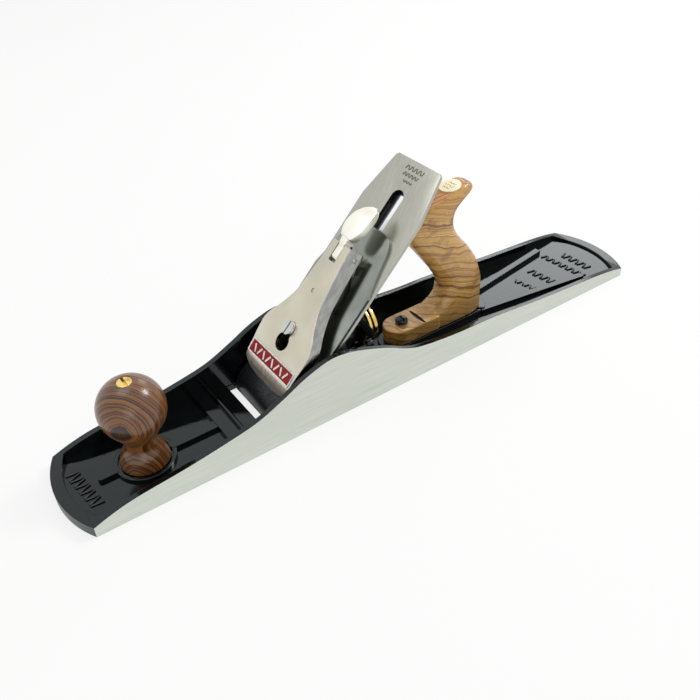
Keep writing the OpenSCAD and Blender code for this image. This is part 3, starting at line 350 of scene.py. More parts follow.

# %% [markdown]
# ## The woods of knob and tote
# The knob is a dark, oily tropical wood under lacquer. The tote is a paler, striped wood
# rubbed with oil. The front of its grip is cut along the layers, so the same wood shows
# straight lines there and is warmer. The cut behind its flat toe is painted nearly black as
# painted shade.

# %% Woods
# Rosewood: bands 1 to 3 mm apart, near black on chestnut, glossy lacquer.
knob_wood = wood("lacquered_rosewood", (-0.68, -0.73, -0.07), 1.9, 4.5,
                 [(0.28, "#24150E"), (0.38, "#3E2415"), (0.45, "#7C4E24"), (0.52, "#8A5A2B"),
                  (0.57, "#4E2D17"), (0.62, "#26160F"), (0.7, "#744620"), (0.8, "#2E1B12")],
                 [((0.4, 0.4, 5), (0, 0, 0), "#24140C", 0.5)], 0.3, 0.3)
# Pale striped hardwood: honey ground, brown streaks and a slow mottle, satin oil.
tote_wood = wood("striped_hardwood", (0.3, 0.25, 0.92), 4.0, 11.0,
                 [(0.3, "#82592A"), (0.39, "#AE8044"), (0.48, "#D0A35C"), (0.57, "#BA8A4C"),
                  (0.64, "#926735"), (0.72, "#DAB166")],
                 [((15, 12, 7), (0, -25, 0), "#6E4E28", 0.5),
                  ((0.45, 0.45, 8), (0, 40, 0), "#7A5228", 0.5)], 0.34, 0.25)
# The same wood cut along its layers: straight, orange lines.
tote_front = wood("quartered_front_of_tote", (0.25, 0.96, 0.1), 1.6, 1.2,
                  [(0.3, "#9C5F2C"), (0.45, "#C98848"), (0.55, "#D99A58"), (0.64, "#A96C36"),
                   (0.75, "#E0AC6C")],
                  [((0.45, 0.45, 8), (0, 40, 0), "#8A5228", 0.5)], 0.34, 0.25)
# Painted shade in the cut behind the toe: nearly black, dry.
cut_painted_shade = grained("painted_shade_in_cut", "#1C120A", 0.7, (1, 4, 1),
                     [(0.3, "#120B06"), (0.7, "#2A1B0F")], 0.02)
print("woods:", knob_wood.name, tote_wood.name, tote_front.name, cut_painted_shade.name)

# %% [markdown]
# ## Badge, label and marks
# The lever cap carries a red panel in a polished border, and the tote a round cream label
# under varnish, with plain marks in brown ink. An enamel is a little mottled, paper has
# fibres, and an etched mark is a matt patch in ground steel. They are small in the picture,
# so one pattern each is enough.

# %% Small finishes
badge_red = grained("red_badge_enamel", "#981014", 0.5, (3, 3, 3),
                    [(0.3, "#820C10"), (0.7, "#A81418")], 0.02, Specular_IOR_Level=0.3)
badge_silver = grained("polished_badge_edge", "#D8D8D4", 0.16, (2, 2, 2),
                       [(0.3, "#BDBDB8"), (0.7, "#E4E4E0")], 0.01, Metallic=1.0)
label_paper = grained("varnished_label", "#F6EFC9", 0.4, (0.6, 2.0, 0.6),
                      [(0.3, "#F3E6B4"), (0.7, "#FFF9DC")], 0.01, Coat_Weight=0.3)
label_ink = grained("brown_label_ink", "#8A5A34", 0.5, (0.5, 0.5, 0.5),
                    [(0.3, "#7A4A28"), (0.7, "#B0804E")], detail=2)
etched_grey = grained("etched_mark_grey", "#6E675A", 0.55, (0.7, 0.7, 0.7),
                      [(0.3, "#5A5348"), (0.7, "#8A8478")], detail=2, Metallic=0.6)
print("small finishes:", badge_red.name, label_paper.name, etched_grey.name)

# %% [markdown]
# ## From solid to finished piece
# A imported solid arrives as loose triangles. A copy of it is joined along its edges, and its
# flat faces are made whole again, because a bevel runs cleanly only round whole faces. The
# piece then gets its finishes, rides on the body of its node, and stands for that node.

# %% Copy a solid and put a piece in its place
JOIN_MM = 0.002              # corners nearer than this are one corner
FLAT_DEG = 0.2               # faces that turn less than this are one flat face


def deselect_all():
    """Leaves nothing selected, so that an operator acts only on what is made next."""
    if bpy.context.object and bpy.context.object.mode != "OBJECT":
        bpy.ops.object.mode_set(mode="OBJECT")
    bpy.ops.object.select_all(action="DESELECT")


def only(piece):
    """Makes piece the one selected and active object."""
    deselect_all()
    piece.select_set(True)
    bpy.context.view_layer.objects.active = piece


def coat(piece, finishes):
    """Gives a piece its finishes; faces take the first, until others are painted on."""
    piece.data.materials.clear()
    for material in finishes:
        piece.data.materials.append(material)


def place_piece(piece, node, slot_name, *finishes):
    """Gives a piece its finishes, lets it ride on the node's body and stand for the node."""
    coat(piece, finishes)
    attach(piece, frame["nodes"][node]["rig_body"])
    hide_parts(node)


def tidy_mesh(piece, join=False, whole=False):
    """Joins corners that coincide, and dissolves the edges inside flat faces."""
    only(piece)
    bpy.ops.object.mode_set(mode="EDIT")
    bpy.ops.mesh.select_all(action="SELECT")
    if join:
        bpy.ops.mesh.remove_doubles(threshold=JOIN_MM * MM)
    if whole:
        bpy.ops.mesh.dissolve_limited(angle_limit=math.radians(FLAT_DEG))
    bpy.ops.object.mode_set(mode="OBJECT")


def joined_copy(node, name, whole=True):
    """A copy of a solid whose loose triangles are joined, and made into whole flat faces."""
    piece = bpy.data.objects.new(name, frame["nodes"][node].data.copy())
    bpy.context.scene.collection.objects.link(piece)
    only(piece)
    bpy.ops.mesh.customdata_custom_splitnormals_clear()
    tidy_mesh(piece, join=True, whole=whole)
    return piece

print("copying ready")

# %% [markdown]
# ## Which edges are softened, and how much
# The real pieces are cast, filed, tumbled or sanded, and it is their soft edges that catch
# the light. A bevel does this, but one width for all edges would fold over itself wherever
# a face is narrow. So each edge gets a weight: full where there is room, less where its
# neighbours are short, and less again round a face that is ground sharp.

# %% Edges and their weights
SHARP_DEG = 32               # an edge sharper than this gets a bevel
KEEN_SHARE = 0.3             # the bevel's share round a keen face
ROOM_SHARE = 0.33            # a bevel may take this much of its shortest neighbour
STRAIGHT_ON = -0.85          # two ways out of a point are one curve below this cosine
FAR_MM = 10.0                # room at a point that has no short neighbour


def select_sharp_edges(piece):
    """Selects the edges that are sharper than SHARP_DEG."""
    only(piece)
    bpy.ops.object.mode_set(mode="EDIT")
    bpy.ops.mesh.select_mode(type="EDGE")
    bpy.ops.mesh.select_all(action="DESELECT")
    bpy.ops.mesh.edges_select_sharp(sharpness=math.radians(SHARP_DEG))
    bpy.ops.object.mode_set(mode="OBJECT")


def leave_inner_corners(piece):
    """Deselects the edges where two faces meet in a hollow corner."""
    sides = {}
    for face in piece.data.polygons:
        for key in face.edge_keys:
            sides.setdefault(key, []).append(face)
    for edge in piece.data.edges:
        pair = sides.get(edge.key, [])
        if len(pair) == 2 and pair[0].normal.dot(pair[1].center - pair[0].center) > 0:
            edge.select = False


def points_on_curves(piece):
    """The points where one selected edge runs straight on into one other."""
    points, ways = piece.data.vertices, {}
    for edge in piece.data.edges:
        if edge.select:
            a, b = edge.vertices
            ways.setdefault(a, []).append((points[b].co - points[a].co).normalized())
            ways.setdefault(b, []).append((points[a].co - points[b].co).normalized())
    return {v for v, way in ways.items() if len(way) == 2 and way[0].dot(way[1]) < STRAIGHT_ON}


def room_at_points(piece, flow):
    """The shortest edge (in mm) at each point; with flow, the steps of a curve don't count."""
    points, room = piece.data.vertices, {}
    curve = points_on_curves(piece) if flow else set()
    for edge in piece.data.edges:
        a, b = (points[v].co for v in edge.vertices)
        for v in edge.vertices:
            if not (edge.select and v in curve):
                room[v] = min(room.get(v, FAR_MM), (a - b).length / MM)
    return room


def weigh_edges(piece, width_mm, keen, flow):
    """Sets each selected edge's share of the bevel's width."""
    keen_edges = set()
    if keen:
        for face in piece.data.polygons:
            if keen(face.center / MM, face.normal):
                keen_edges.update(face.edge_keys)
    room = room_at_points(piece, flow)
    weights = piece.data.attributes.new("bevel_weight_edge", "FLOAT", "EDGE")
    for edge, weight in zip(piece.data.edges, weights.data):
        if edge.select:
            share = KEEN_SHARE if edge.key in keen_edges else 1.0
            least = min(room.get(v, FAR_MM) for v in edge.vertices)
            weight.value = min(share, ROOM_SHARE * least / width_mm)

print("edge rules ready")

# %% [markdown]
# ## Bevel and shading
# After the bevel, a piece is shaded smooth up to an angle, so that flats stay flat and
# bevels look round. On the casting and the lever cap large faces also set the shading at
# their corners, or each long narrow triangle would show as a wedge. Where one piece has two
# finishes, its faces are then picked by their place and direction, and painted.

# %% Soften, paint and refine
EVEN_WEIGHT = 80             # how strongly large faces lead the shading, 50 is neutral
SQUARE_ON = 0.9999           # a face with this much of one axis is flat to it


def soften(piece, width_mm, segments=2, smooth_deg=SHARP_DEG, keen=None, flats=False,
           flow=False, even=False):
    """Bevels the sharp edges, less so around faces that pass the keen test.

    flats keeps flat faces flat and bevels outer edges only; flow lets a bevel run on
    through the short steps of a curve; even lets large faces lead the shading.
    """
    select_sharp_edges(piece)
    if flats:
        leave_inner_corners(piece)
    weigh_edges(piece, width_mm, keen, flow)
    bevel = piece.modifiers.new("soft edges", "BEVEL")
    bevel.width, bevel.segments = width_mm * MM, segments
    bevel.limit_method = "WEIGHT"
    bevel.use_clamp_overlap = False
    bpy.ops.object.modifier_apply(modifier=bevel.name)
    if flats:
        tidy_mesh(piece, whole=True)
    bpy.ops.object.shade_smooth_by_angle(angle=math.radians(smooth_deg))
    if flats or even:
        weighted = piece.modifiers.new("even shading", "WEIGHTED_NORMAL")
        weighted.weight, weighted.keep_sharp = EVEN_WEIGHT, True
        bpy.ops.object.modifier_apply(modifier=weighted.name)
    if flats:
        normals = [corner.vector.copy() for corner in piece.data.corner_normals]
        for face in piece.data.polygons:
            if max(abs(part) for part in face.normal) > SQUARE_ON:
                for corner in face.loop_indices:
                    normals[corner] = face.normal.copy()
        piece.data.normals_split_custom_set(normals)


def paint(piece, number, test):
    """Gives finish number to each face whose centre (in mm) and normal pass the test."""
    for face in piece.data.polygons:
        if test(face.center / MM, face.normal):
            face.material_index = number


def refined(node, width_mm, slot_name, *finishes, whole=True, **softening):
    """The usual way from a solid to a finished piece."""
    piece = joined_copy(node, node + "_finished", whole)
    soften(piece, width_mm, flats=not whole, **softening)
    place_piece(piece, node, slot_name, *finishes)
    print(piece.name, "faces", len(piece.data.polygons))
    return piece

print("soften, paint and refine ready")

# %% [markdown]
# ## The body casting
# It is one iron casting, with its edges soft under the enamel. The belt then cuts the
# cheeks, the sole and the ends bare, so those faces are ground iron right up to edges that
# are nearly sharp. Its flat faces have many holes and corners, so they stay triangles here:
# a face with a hundred corners folds over itself when its edges are bevelled.

# %% Body casting
CHEEK_Y, SOLE_Z, END_X = 35.85, 0.1, 205.0


def is_ground(centre, normal):
    """True on the flat cheeks and the sole."""
    cheek = abs(centre.y) > CHEEK_Y and abs(normal.y) > 0.9
    sole = centre.z < SOLE_Z and normal.z < -0.9
    return cheek or sole


def is_end(centre, normal):
    """True on the curved walls of toe and heel."""
    outward = normal.x * centre.x > 0
    return abs(centre.x) > END_X and outward and abs(normal.z) < 0.3 and abs(normal.y) < 0.9


body = refined("plane_body", 0.7, "enamelled_casting", black_enamel, ground_iron, washed_iron,
               whole=False, segments=3, flow=True,
               keen=lambda centre, normal: is_ground(centre, normal) or is_end(centre, normal))
paint(body, 1, is_ground)
paint(body, 2, is_end)
print("faces with a ground finish", sum(f.material_index > 0 for f in body.data.polygons))

# %% [markdown]
# ## The frog and the hidden fastenings
# The frog is milled where the blade lies on it, and here all over, since little else of it
# shows. The screws, washers, pins and levers are turned or stamped, and so small that a
# bevel of 0.1 to 0.3 mm is enough. They need nothing else, so one list dresses them all: a
# name, the bevel's width, the record's slot, and a finish.

# %% Frog and fastenings
refined("frog", 0.25, "frog_iron", milled_iron)
for node, width_mm, slot_name, material in (
        ("frog_clamp_screws", 0.15, "steel_fastener", bright_steel),
        ("frog_clamp_washers", 0.1, "steel_fastener", bright_steel),
        ("frog_adjusting_screw", 0.12, "steel_fastener", black_oxide),
        ("frog_adjusting_clip", 0.1, "steel_fastener", bright_steel),
        ("frog_clip_screw", 0.1, "steel_fastener", bright_steel),
        ("depth_stud", 0.12, "steel_fastener", bright_steel),
        ("y_lever", 0.25, "steel_fastener", black_oxide),
        ("y_lever_pin", 0.1, "steel_fastener", bright_steel),
        ("lateral_roller", 0.15, "steel_fastener", bright_steel),
        ("lateral_rivet", 0.1, "steel_fastener", bright_steel),
        ("cap_iron_screw", 0.25, "steel_fastener", bright_steel),
        ("lever_cap_screw", 0.3, "steel_fastener", bright_steel),
        ("lever_cap_spring", 0.08, "steel_fastener", bright_steel),
        ("spring_rivet", 0.08, "steel_fastener", bright_steel),
        ("cam_pin", 0.1, "steel_fastener", bright_steel),
        ("knob_bolt", 0.1, "steel_fastener", bright_steel),
        ("tote_bolt", 0.1, "steel_fastener", bright_steel),
        ("knob_nut", 0.2, "brass", brass),
        ("tote_nut", 0.2, "brass", brass),
        ("tote_toe_screw", 0.2, "black_screw", black_oxide),
        ("tote_label", 0.08, "label_paper", label_paper)):
    refined(node, width_mm, slot_name, material)

# %% [markdown]
# ## Places on the bed
# The blade and all that lies with it slope at 45 degrees. It is easier to think of a place
# there as so far up the slope, so far across, and so far out from it. One function reads a
# point that way, and one matrix puts a piece drawn flat at the origin onto the slope.

# %% The slope
BED_X = -90                  # where the slope meets the sole's level, in mm
HALF_RIGHT = 0.70711         # sine and cosine of 45 degrees
OUTWARD = Vector((-HALF_RIGHT, 0, HALF_RIGHT))


def moved(x, y, z):
    """A move by millimetres."""
    return Matrix.Translation((x * MM, y * MM, z * MM))


def turned(degrees, axis):
    """A turn about one axis."""
    return Matrix.Rotation(math.radians(degrees), 4, axis)


BED = moved(BED_X, 0, 0) @ turned(-45, "Y")


def on_bed(point):
    """A point (in mm) as its place up the bed's slope, across it, and out from it."""
    along, rise = point.x - BED_X, point.z
    return (along + rise) * HALF_RIGHT, point.y, (rise - along) * HALF_RIGHT

print("the cutting edge is", round(on_bed(Vector((BED_X, 0, 0)))[0], 2), "mm up the slope")

# %% [markdown]
# ## The lateral lever and the brass wheel
# The lever is a strip with a bent tab. Its top face carries a painted highlight on the near
# half and painted shade on the far half, and the rest stays blue-black. The wheel is turned
# brass: its rims are polished by the fingers and its grooves stay tarnished. Both are told
# apart by where a face lies, so no second piece is needed.

# %% Lateral lever and wheel
WHEEL_AXIS_Z, RIM_RADIUS, WHEEL_BACK_X = 36, 12.4, -2.2

lateral_lever = refined("lateral_lever", 0.2, "steel_fastener", lever_with_painted_highlight, black_oxide)
# The top face keeps the lever finish, with its painted highlight and painted shade.
paint(lateral_lever, 1, lambda centre, normal: normal.dot(OUTWARD) < 0.9)


def is_tarnished(centre, normal):
    """True inside the wheel's rims, on the groove floors and at the back of the hub."""
    inside = math.hypot(centre.y, centre.z - WHEEL_AXIS_Z) < RIM_RADIUS
    return inside and (abs(normal.x) < 0.5 or centre.x < WHEEL_BACK_X)


wheel = refined("depth_wheel", 0.25, "brass", brass, groove_brass)
paint(wheel, 1, is_tarnished)
print("tarnished faces", sum(f.material_index for f in wheel.data.polygons))

# %% [markdown]
# ## Iron and cap iron
# The cutting iron is a ground plate with a punched slot, so the slot's walls get the dark
# finish. The cap iron is a bent strip that holds it down; its nose gets the same dark finish
# as painted shade. Both are thin, so their bevels are narrow: a wide one would eat the edge.

# %% Iron and cap iron
SLOT_HALF_WIDTH, SLOT_LOW, SLOT_HIGH = 8, 40, 175
NOSE_TOP, NOSE_OUT = 21, 3


def in_slot(centre, normal):
    """True on the walls of the iron's slot."""
    inside = abs(centre.y) < SLOT_HALF_WIDTH and SLOT_LOW < on_bed(centre)[0] < SLOT_HIGH
    return inside and abs(normal.dot(OUTWARD)) < 0.5


def on_nose_painted_shade(centre, normal):
    """True on the hump at the lower end of the cap iron."""
    up_slope, _, out = on_bed(centre)
    return up_slope < NOSE_TOP and out > NOSE_OUT


iron = refined("cutting_iron", 0.12, "iron_steel", ground_steel, slot_scale_and_nose_shade)
cap_iron = refined("cap_iron", 0.15, "cap_steel", cap_steel, slot_scale_and_nose_shade)
paint(iron, 1, in_slot)
# Painted shade: the cap iron's nose is painted dark.
paint(cap_iron, 1, on_nose_painted_shade)

# %% [markdown]
# ## Lever cap and cam lever
# The lever cap is a casting: its face is brushed, the bevel under the badge is brushed
# more coarsely, and its sides stay as cast. Its face is gently curved, so large faces lead
# the shading and hide its facets. The cam lever is a small plate with rounded edges, and
# its bevel has to run on round the plate's curve, or it would show as short lines.

# %% Lever cap and cam lever
BEVEL_TOP = 28.4             # the brushed bevel ends here, up the slope

lever_cap = refined("lever_cap", 0.3, "lever_cap_metal", cap_face, cap_casting, cap_bevel,
                    smooth_deg=24, even=True)
paint(lever_cap, 1, lambda centre, normal: abs(normal.y) > 0.5)
paint(lever_cap, 2, lambda centre, normal: on_bed(centre)[0] < BEVEL_TOP and abs(normal.y) < 0.6)
refined("cam_lever", 0.4, "cam_plate", cam_plate, segments=3, flow=True)

# %% [markdown]
# ## Relief: blocks, rows of bars, and setting down
# The casting, the iron, the badge and the label carry rows of plain zigzag bars, cast,
# etched, polished or printed. They are one thing at many sizes: small blocks set in a row.
# A row is drawn flat at the origin, where its measures are easy to read, then softened and
# set down where it belongs, with its place in its mesh.

# %% Blocks and bars
LEAN_SHARE = 0.6             # a bar leans over this much of its step
STAND_SHARE = 0.3            # a bar's middle lies this share of its height above its ground


def block(size_mm, place_mm=(0, 0, 0), turn_deg=0):
    """One block, centred at a place in mm, turned about Z."""
    deselect_all()
    bpy.ops.mesh.primitive_cube_add(size=1, location=[p * MM for p in place_mm],
                                    rotation=(0, 0, math.radians(turn_deg)),
                                    scale=[a * MM for a in size_mm])
    bpy.ops.object.transform_apply(location=True, rotation=True, scale=True)
    return bpy.context.object


def set_down(piece, matrix, node, slot_name, *finishes):
    """Moves a piece to its place, and lets it ride with the node."""
    piece.matrix_world = matrix
    only(piece)
    bpy.ops.object.transform_apply(location=True, rotation=True, scale=True)
    coat(piece, finishes)
    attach(piece, frame["nodes"][node]["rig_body"])


def zigzag(name, length_mm, height_mm, count, rise_mm, width_mm, soft_mm=0):
    """A row of slanting bars along Y, height_mm tall along X, that rises rise_mm."""
    step = length_mm / count
    lean = math.degrees(math.atan2(step * LEAN_SHARE, height_mm))
    bars = [block((height_mm, width_mm, rise_mm),
                  (0, (i + 0.5) * step - length_mm / 2, rise_mm * STAND_SHARE),
                  lean if i % 2 else -lean) for i in range(count)]
    deselect_all()
    for bar in bars:
        bar.select_set(True)
    bpy.context.view_layer.objects.active = bars[0]
    bpy.ops.object.join()
    bars[0].name = name
    if soft_mm:
        soften(bars[0], soft_mm)
    return bars[0]

print("blocks and bars ready")

# %% [markdown]
# ## The badge's tray
# A badge is a shallow tray with a raised, polished border. It starts as a block whose
# upright edges are rounded, then its top is inset twice: once for the border, and once more
# while it sinks, which leaves the floor. An inset keeps the border even all round, where a
# second block cut out of the first would need the corners fitted.

# %% Badge tray
BADGE_SIZE = (10.4, 51.4, 0.7)
BADGE_CORNER, BADGE_BORDER, BADGE_WALL, BADGE_DEPTH = 1.6, 1.0, 0.25, 0.35

tray = block(BADGE_SIZE)
tray.name = "badge"
bpy.ops.object.mode_set(mode="EDIT")
bpy.ops.mesh.select_all(action="DESELECT")
bpy.ops.object.mode_set(mode="OBJECT")
for edge in tray.data.edges:
    a, b = (tray.data.vertices[v].co for v in edge.vertices)
    edge.select = abs(a.z - b.z) > 0.1 * MM
bpy.ops.object.mode_set(mode="EDIT")
bpy.ops.mesh.bevel(offset=BADGE_CORNER * MM, segments=5)
bpy.ops.mesh.select_all(action="DESELECT")
bpy.ops.object.mode_set(mode="OBJECT")
for face in tray.data.polygons:
    face.select = face.normal.z > 0.9
bpy.ops.object.mode_set(mode="EDIT")
bpy.ops.mesh.inset(thickness=BADGE_BORDER * MM)
bpy.ops.mesh.inset(thickness=BADGE_WALL * MM, depth=-BADGE_DEPTH * MM)
bpy.ops.object.mode_set(mode="OBJECT")
print("tray heights", sorted({round(v.co.z / MM, 2) for v in tray.data.vertices}))
soften(tray, 0.1)

# %% [markdown]
# ## The badge on the lever cap
# The tray is set down on the cap's curved face, tipped a few degrees to lie along it. Its
# one large floor is filled with red enamel, and polished bars lie on that. The floor is
# picked by its place and its area, which only the hidden underside shares.

# %% Badge in place
BADGE_UP_SLOPE, BADGE_TIP_DEG = 34.4, -3.6

bars = zigzag("badge_bars", 43, 5.8, 8, 0.4, 1.5, 0.12)
set_down(tray, BED @ moved(BADGE_UP_SLOPE, 0, 17.55) @ turned(BADGE_TIP_DEG, "Y"),
         "lever_cap", "lever_cap_metal", badge_silver, badge_red)
for face in tray.data.polygons:
    up_slope, across_slope, _ = on_bed(face.center / MM)
    inside = abs(across_slope) < 24.4 and 30.2 < up_slope < 38.6
    face.material_index = 1 if inside and face.area > 30 * MM * MM else 0
set_down(bars, BED @ moved(BADGE_UP_SLOPE, 0, 17.6) @ turned(BADGE_TIP_DEG, "Y"),
         "lever_cap", "lever_cap_metal", badge_silver)
print("red faces of the badge", sum(f.material_index for f in tray.data.polygons))

# %% [markdown]
# ## The mark on the iron
# The iron has three etched rows near its top. An etched mark has hardly any depth, so
# these rows rise six hundredths of a millimetre, and are told apart by their matt,
# brownish grey. Painted faces would need a mesh as fine as the bars.

# %% Iron mark
for name, up_slope, y, length, height, count in (
        ("iron_mark_upper", 186.6, -0.5, 18, 3.2, 9),
        ("iron_mark_middle", 182, 0, 15, 2.6, 9),
        ("iron_mark_lower", 177.6, -0.5, 9, 1.7, 6)):
    row = zigzag(name, length, height, count, 0.06, 0.55)
    set_down(row, BED @ moved(up_slope, y, 2.42), "cutting_iron", "iron_steel", etched_grey)
print("iron mark set down")

# %% [markdown]
# ## The cam's nose
# The cam lever turns on a pin between the cap's two horns, and its round nose fills
# the notch there. A disc about the pin is the right form, because it can turn in the notch
# without cutting the cap. Its top is pressed flat, level with the face around it.

# %% Cam nose
deselect_all()
bpy.ops.mesh.primitive_cylinder_add(vertices=64, radius=7.9 * MM, depth=5.6 * MM,
                                    rotation=(math.radians(90), 0, 0))
cam_nose = bpy.context.object
cam_nose.name = "cam_nose"
bpy.ops.object.transform_apply(location=True, rotation=True, scale=True)
for point in cam_nose.data.vertices:
    point.co.z = min(point.co.z, 6.3 * MM)
soften(cam_nose, 0.2)
set_down(cam_nose, BED @ moved(118.3, 0, 14.1), "cam_lever", "cam_plate", cam_plate)
print("cam nose faces", len(cam_nose.data.polygons))

# %% [markdown]
# ## The dome on the tote's toe screw
# The head of this screw is a low dome with its slot across. A ball is flattened to half its
# height, cut level below, and pressed in along the slot. Its radius is read from the solid
# under it, so that the two always meet.

# %% Toe screw dome
DOME_HEIGHT, SLOT_HEIGHT, SLOT_HALF = 0.5, 0.2, 0.6

low, high = (Vector(corner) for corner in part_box("tote_toe_screw"))
deselect_all()
bpy.ops.mesh.primitive_uv_sphere_add(segments=48, ring_count=32, radius=(high.y - low.y) / 2)
screw_dome = bpy.context.object
screw_dome.name = "tote_toe_screw_dome"
for point in screw_dome.data.vertices:
    share = SLOT_HEIGHT if abs(point.co.x) < SLOT_HALF * MM else DOME_HEIGHT
    point.co.z = max(point.co.z * share, -0.2 * MM)
only(screw_dome)
bpy.ops.object.shade_smooth_by_angle(angle=math.radians(SHARP_DEG))
set_down(screw_dome, Matrix.Translation(((low.x + high.x) / 2, (low.y + high.y) / 2, high.z)),
         "tote_toe_screw", "black_screw", black_oxide)
print("dome faces", len(screw_dome.data.polygons))

# %% [markdown]
# ## Shade sheet and thumb plate of the lateral lever
# Through the iron's slot the lever shows as a bright strip on black, and nothing is seen
# beyond it. So a wider, dark strip behind the lever stands as painted shade, and a round
# plate for the thumb ends it. Both are a thin block and a thin disc, with softened edges.

# %% Lever shade sheet and thumb plate
# Painted shade: a dark sheet behind the lever, not a part of the plane.
lever_shade_sheet = block((40, 17, 0.6))
lever_shade_sheet.name = "lateral_lever_shade_sheet"
soften(lever_shade_sheet, 0.15)
set_down(lever_shade_sheet, BED @ moved(149, 0, -2.2), "lateral_lever", "steel_fastener", black_oxide)

deselect_all()
bpy.ops.mesh.primitive_cylinder_add(vertices=48, radius=8.5 * MM, depth=1.4 * MM)
thumb_plate = bpy.context.object
thumb_plate.name = "lateral_thumb_plate"
soften(thumb_plate, 0.3)
set_down(thumb_plate, BED @ moved(167.5, 0, -1.1), "lateral_lever", "steel_fastener", black_oxide)
print("backing and thumb plate set down")

# %% [markdown]
# ## Cast marks on toe and heel
# Rows of raised bars stand on the floors of the casting, under the same enamel. They are
# about a millimetre high and wide, which is what sand can hold. Their edges are softened
# by 0.3 mm, as a thick coat does, so they glint rather than cut.

# %% Cast marks
FLOOR_Z = 4.8

for name, x, y, turn_deg, length, height, count in (
        ("toe_cast_mark", -211.5, -0.5, 7, 36, 8.6, 11),
        ("heel_cast_mark_outer", 200.5, -4.5, 3, 28, 6.6, 8),
        ("heel_cast_mark_middle", 187.8, -3.5, 5, 42, 5.4, 13),
        ("heel_cast_mark_inner", 163.5, -3.6, 6, 24, 6.6, 7),
        ("heel_cast_mark_small", 145.5, -4, 12, 20, 4.4, 6)):
    row = zigzag(name, length, height, count, 1.1, 1.3, 0.3)
    set_down(row, moved(x, y, FLOOR_Z) @ turned(turn_deg, "Z"),
             "plane_body", "enamelled_casting", black_enamel)
print("cast marks set down")

# %% [markdown]
# ## Print on the label
# The label's print is thinner than the paper. Three short rows in brown ink, less than a
# tenth of a millimetre high, lie on it at the label's own slight tip.

# %% Label marks
LABEL = moved(70, 0, 112.7) @ turned(-8, "Y")

for name, x, length, height, count in (("label_mark_upper", 2.6, 7, 1.6, 5),
                                       ("label_mark_middle", -0.4, 9, 2.2, 4),
                                       ("label_mark_lower", -3.4, 6, 1.4, 5)):
    row = zigzag(name, length, height, count, 0.08, 0.5)
    set_down(row, LABEL @ moved(x, 0, 0.8), "tote_label", "label_paper", label_ink)
print("label marks set down")

# %% [markdown]
# ## The knob
# The knob is turned on a lathe, and the solid has its profile already. A small bevel at
# the rim of its bore and its foot is all that the lacquer leaves to round.

# %% Knob
refined("knob", 0.3, "knob_wood", knob_wood)

# %% [markdown]
# ## The tote's skin
# The tote is rasped and sanded by hand, so no edge on it is a true bevel. Its solid's flats
# are melted into one skin instead: fine cubes first, then a smoothing that rounds each
# arris by about a millimetre. A bevel would leave the same hard flats beside it.

# %% Tote, carved
tote = joined_copy("tote", "tote_finished")
tote.data.remesh_voxel_size = 0.7 * MM
bpy.ops.object.voxel_remesh()
melt = tote.modifiers.new("sanding", "SMOOTH")
melt.factor, melt.iterations = 0.5, 9
bpy.ops.object.modifier_apply(modifier=melt.name)
print("tote skin faces", len(tote.data.polygons))

# %% [markdown]
# ## The cut behind the toe
# A dark cut parts the flat toe from the grip. It is lens-shaped from above and about a
# millimetre deep, as a round cutter leaves it, so a flattened cylinder is taken out of the
# skin after the sanding, which would have closed it. The front of the grip then gets
# the wood that is cut along its layers, and the cut is painted nearly black as painted shade.

# %% Tote, cut and finished
CUT_PLACE, CUT_HALF = (41.0, -1.8), (1.5, 9.0)
GRIP_FOOT_Z = 52

deselect_all()
bpy.ops.mesh.primitive_cylinder_add(vertices=64, radius=MM, depth=5 * MM,
                                    location=(CUT_PLACE[0] * MM, CUT_PLACE[1] * MM, 21.3 * MM),
                                    scale=(CUT_HALF[0], CUT_HALF[1], 1))
cutter = bpy.context.object
cut = tote.modifiers.new("toe cut", "BOOLEAN")
cut.object, cut.operation, cut.solver = cutter, "DIFFERENCE", "EXACT"
only(tote)
bpy.ops.object.modifier_apply(modifier=cut.name)
bpy.data.objects.remove(cutter)
bpy.ops.object.shade_smooth_by_angle(angle=math.radians(40))


def is_grip_front(centre, normal):
    """True on the front of the grip, which faces up and towards the toe."""
    return centre.z > GRIP_FOOT_Z and normal.z - normal.x > 0.95 and abs(normal.y) < 0.5


def in_cut(centre, normal):
    """True on the walls and the floor of the cut."""
    across, along = ((centre[i] - CUT_PLACE[i]) / CUT_HALF[i] for i in (0, 1))
    return 18.5 < centre.z < 24 and math.hypot(across, along) < 1.01


place_piece(tote, "tote", "tote_wood", tote_wood, tote_front, cut_painted_shade)
# Painted shade: the cut's walls and floor are painted nearly black.
paint(tote, 2, in_cut)
paint(tote, 1, is_grip_front)
print("tote faces", len(tote.data.polygons))

# %% [markdown]
# ## The floor
# A product shot stands on white. More light would bleach the plane along with the floor, so
# the floor is partly its own white instead, seen by the camera and by reflections only. The
# rest of it is plain matt paint, which takes the plane's soft shadow.

# %% Floor
WHITE_SHARE = 0.74           # how much of the floor's look is its own white


def met_by(tree, *rays):
    """1 where a surface is met by one of these kinds of ray, and 0 elsewhere."""
    path = add(tree, "LightPath")
    met = path.outputs[rays[0]]
    for ray in rays[1:]:
        either = add(tree, "Math", None, {0: met, 1: path.outputs[ray]}, operation="MAXIMUM")
        met = either.outputs[0]
    return met


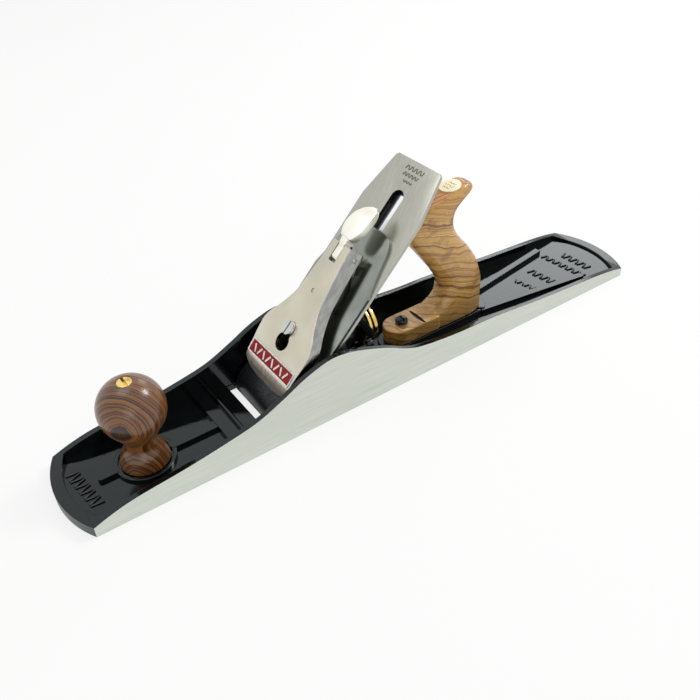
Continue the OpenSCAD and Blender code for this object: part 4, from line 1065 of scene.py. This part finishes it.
deselect_all()
bpy.ops.mesh.primitive_plane_add(size=6, location=(0, 0, 0))
floor = bpy.context.object
floor.name = "studio_floor"
floor_paint, tree, shader = finish("matt_white_floor", "#F7F8F6", 0.9)
amount = add(tree, "Math", {1: WHITE_SHARE},
             {0: met_by(tree, "Is Camera Ray", "Is Glossy Ray", "Is Transmission Ray")},
             operation="MULTIPLY")
white = add(tree, "Emission", {"Color": (1, 1, 1, 1), "Strength": 1.0})
mixed = add(tree, "MixShader", None,
            {0: amount.outputs[0], 1: shader.outputs[0], 2: white.outputs[0]})
tree.links.new(mixed.outputs[0], tree.nodes["Material Output"].inputs[0])
floor.data.materials.append(floor_paint)
print("floor laid:", floor.name)

# %% [markdown]
# ## World and lamps
# The room is white all round and gives little light of its own. A large soft lamp from the
# heel's side lights the bright faces, a second one above fills the hollows, and a weak one
# by the camera keeps the near cheek pale. A dim screen beyond the heel is there only for its
# mirror image, which greys the enamel as the photograph's room does.

# %% World and lamps
world = bpy.data.worlds.new("white_studio")
bpy.context.scene.world = world
world.use_nodes = True
tree = world.node_tree
sky = tree.nodes["Background"]
sky.inputs["Color"].default_value = (1, 1, 1, 1)
strength = add(tree, "MapRange", {"To Min": 0.55, "To Max": 1.0},
               {"Value": met_by(tree, "Is Camera Ray", "Is Glossy Ray")})
tree.links.new(strength.outputs[0], sky.inputs["Strength"])


def lamp(name, direction, distance, size, radiance):
    """A square soft lamp that looks at the plane, with the given radiance."""
    light = bpy.data.lights.new(name, "AREA")
    light.shape, light.size = "SQUARE", size
    light.energy = radiance * math.pi * size * size
    holder = bpy.data.objects.new(name, light)
    place = Vector(direction).normalized() * distance
    turn = place.to_track_quat("Z", "Y").to_matrix()
    holder.matrix_world = Matrix.Translation(place) @ turn.to_4x4()
    bpy.context.scene.collection.objects.link(holder)


lamp("heel_side_softbox", (0.73, -0.12, 0.71), 1.5, 0.34, 22)
lamp("top_softbox", (-0.2, 0.25, 1.0), 1.6, 0.8, 2.0)
lamp("camera_fill", (-0.5, -0.9, 0.45), 1.7, 0.9, 1.2)
lamp("far_screen", (1.05, 0.86, 0.82), 1.6, 0.46, 2.9)
bpy.context.scene.view_settings.view_transform = "Standard"
print("lamps:", [light.name for light in bpy.data.lights])
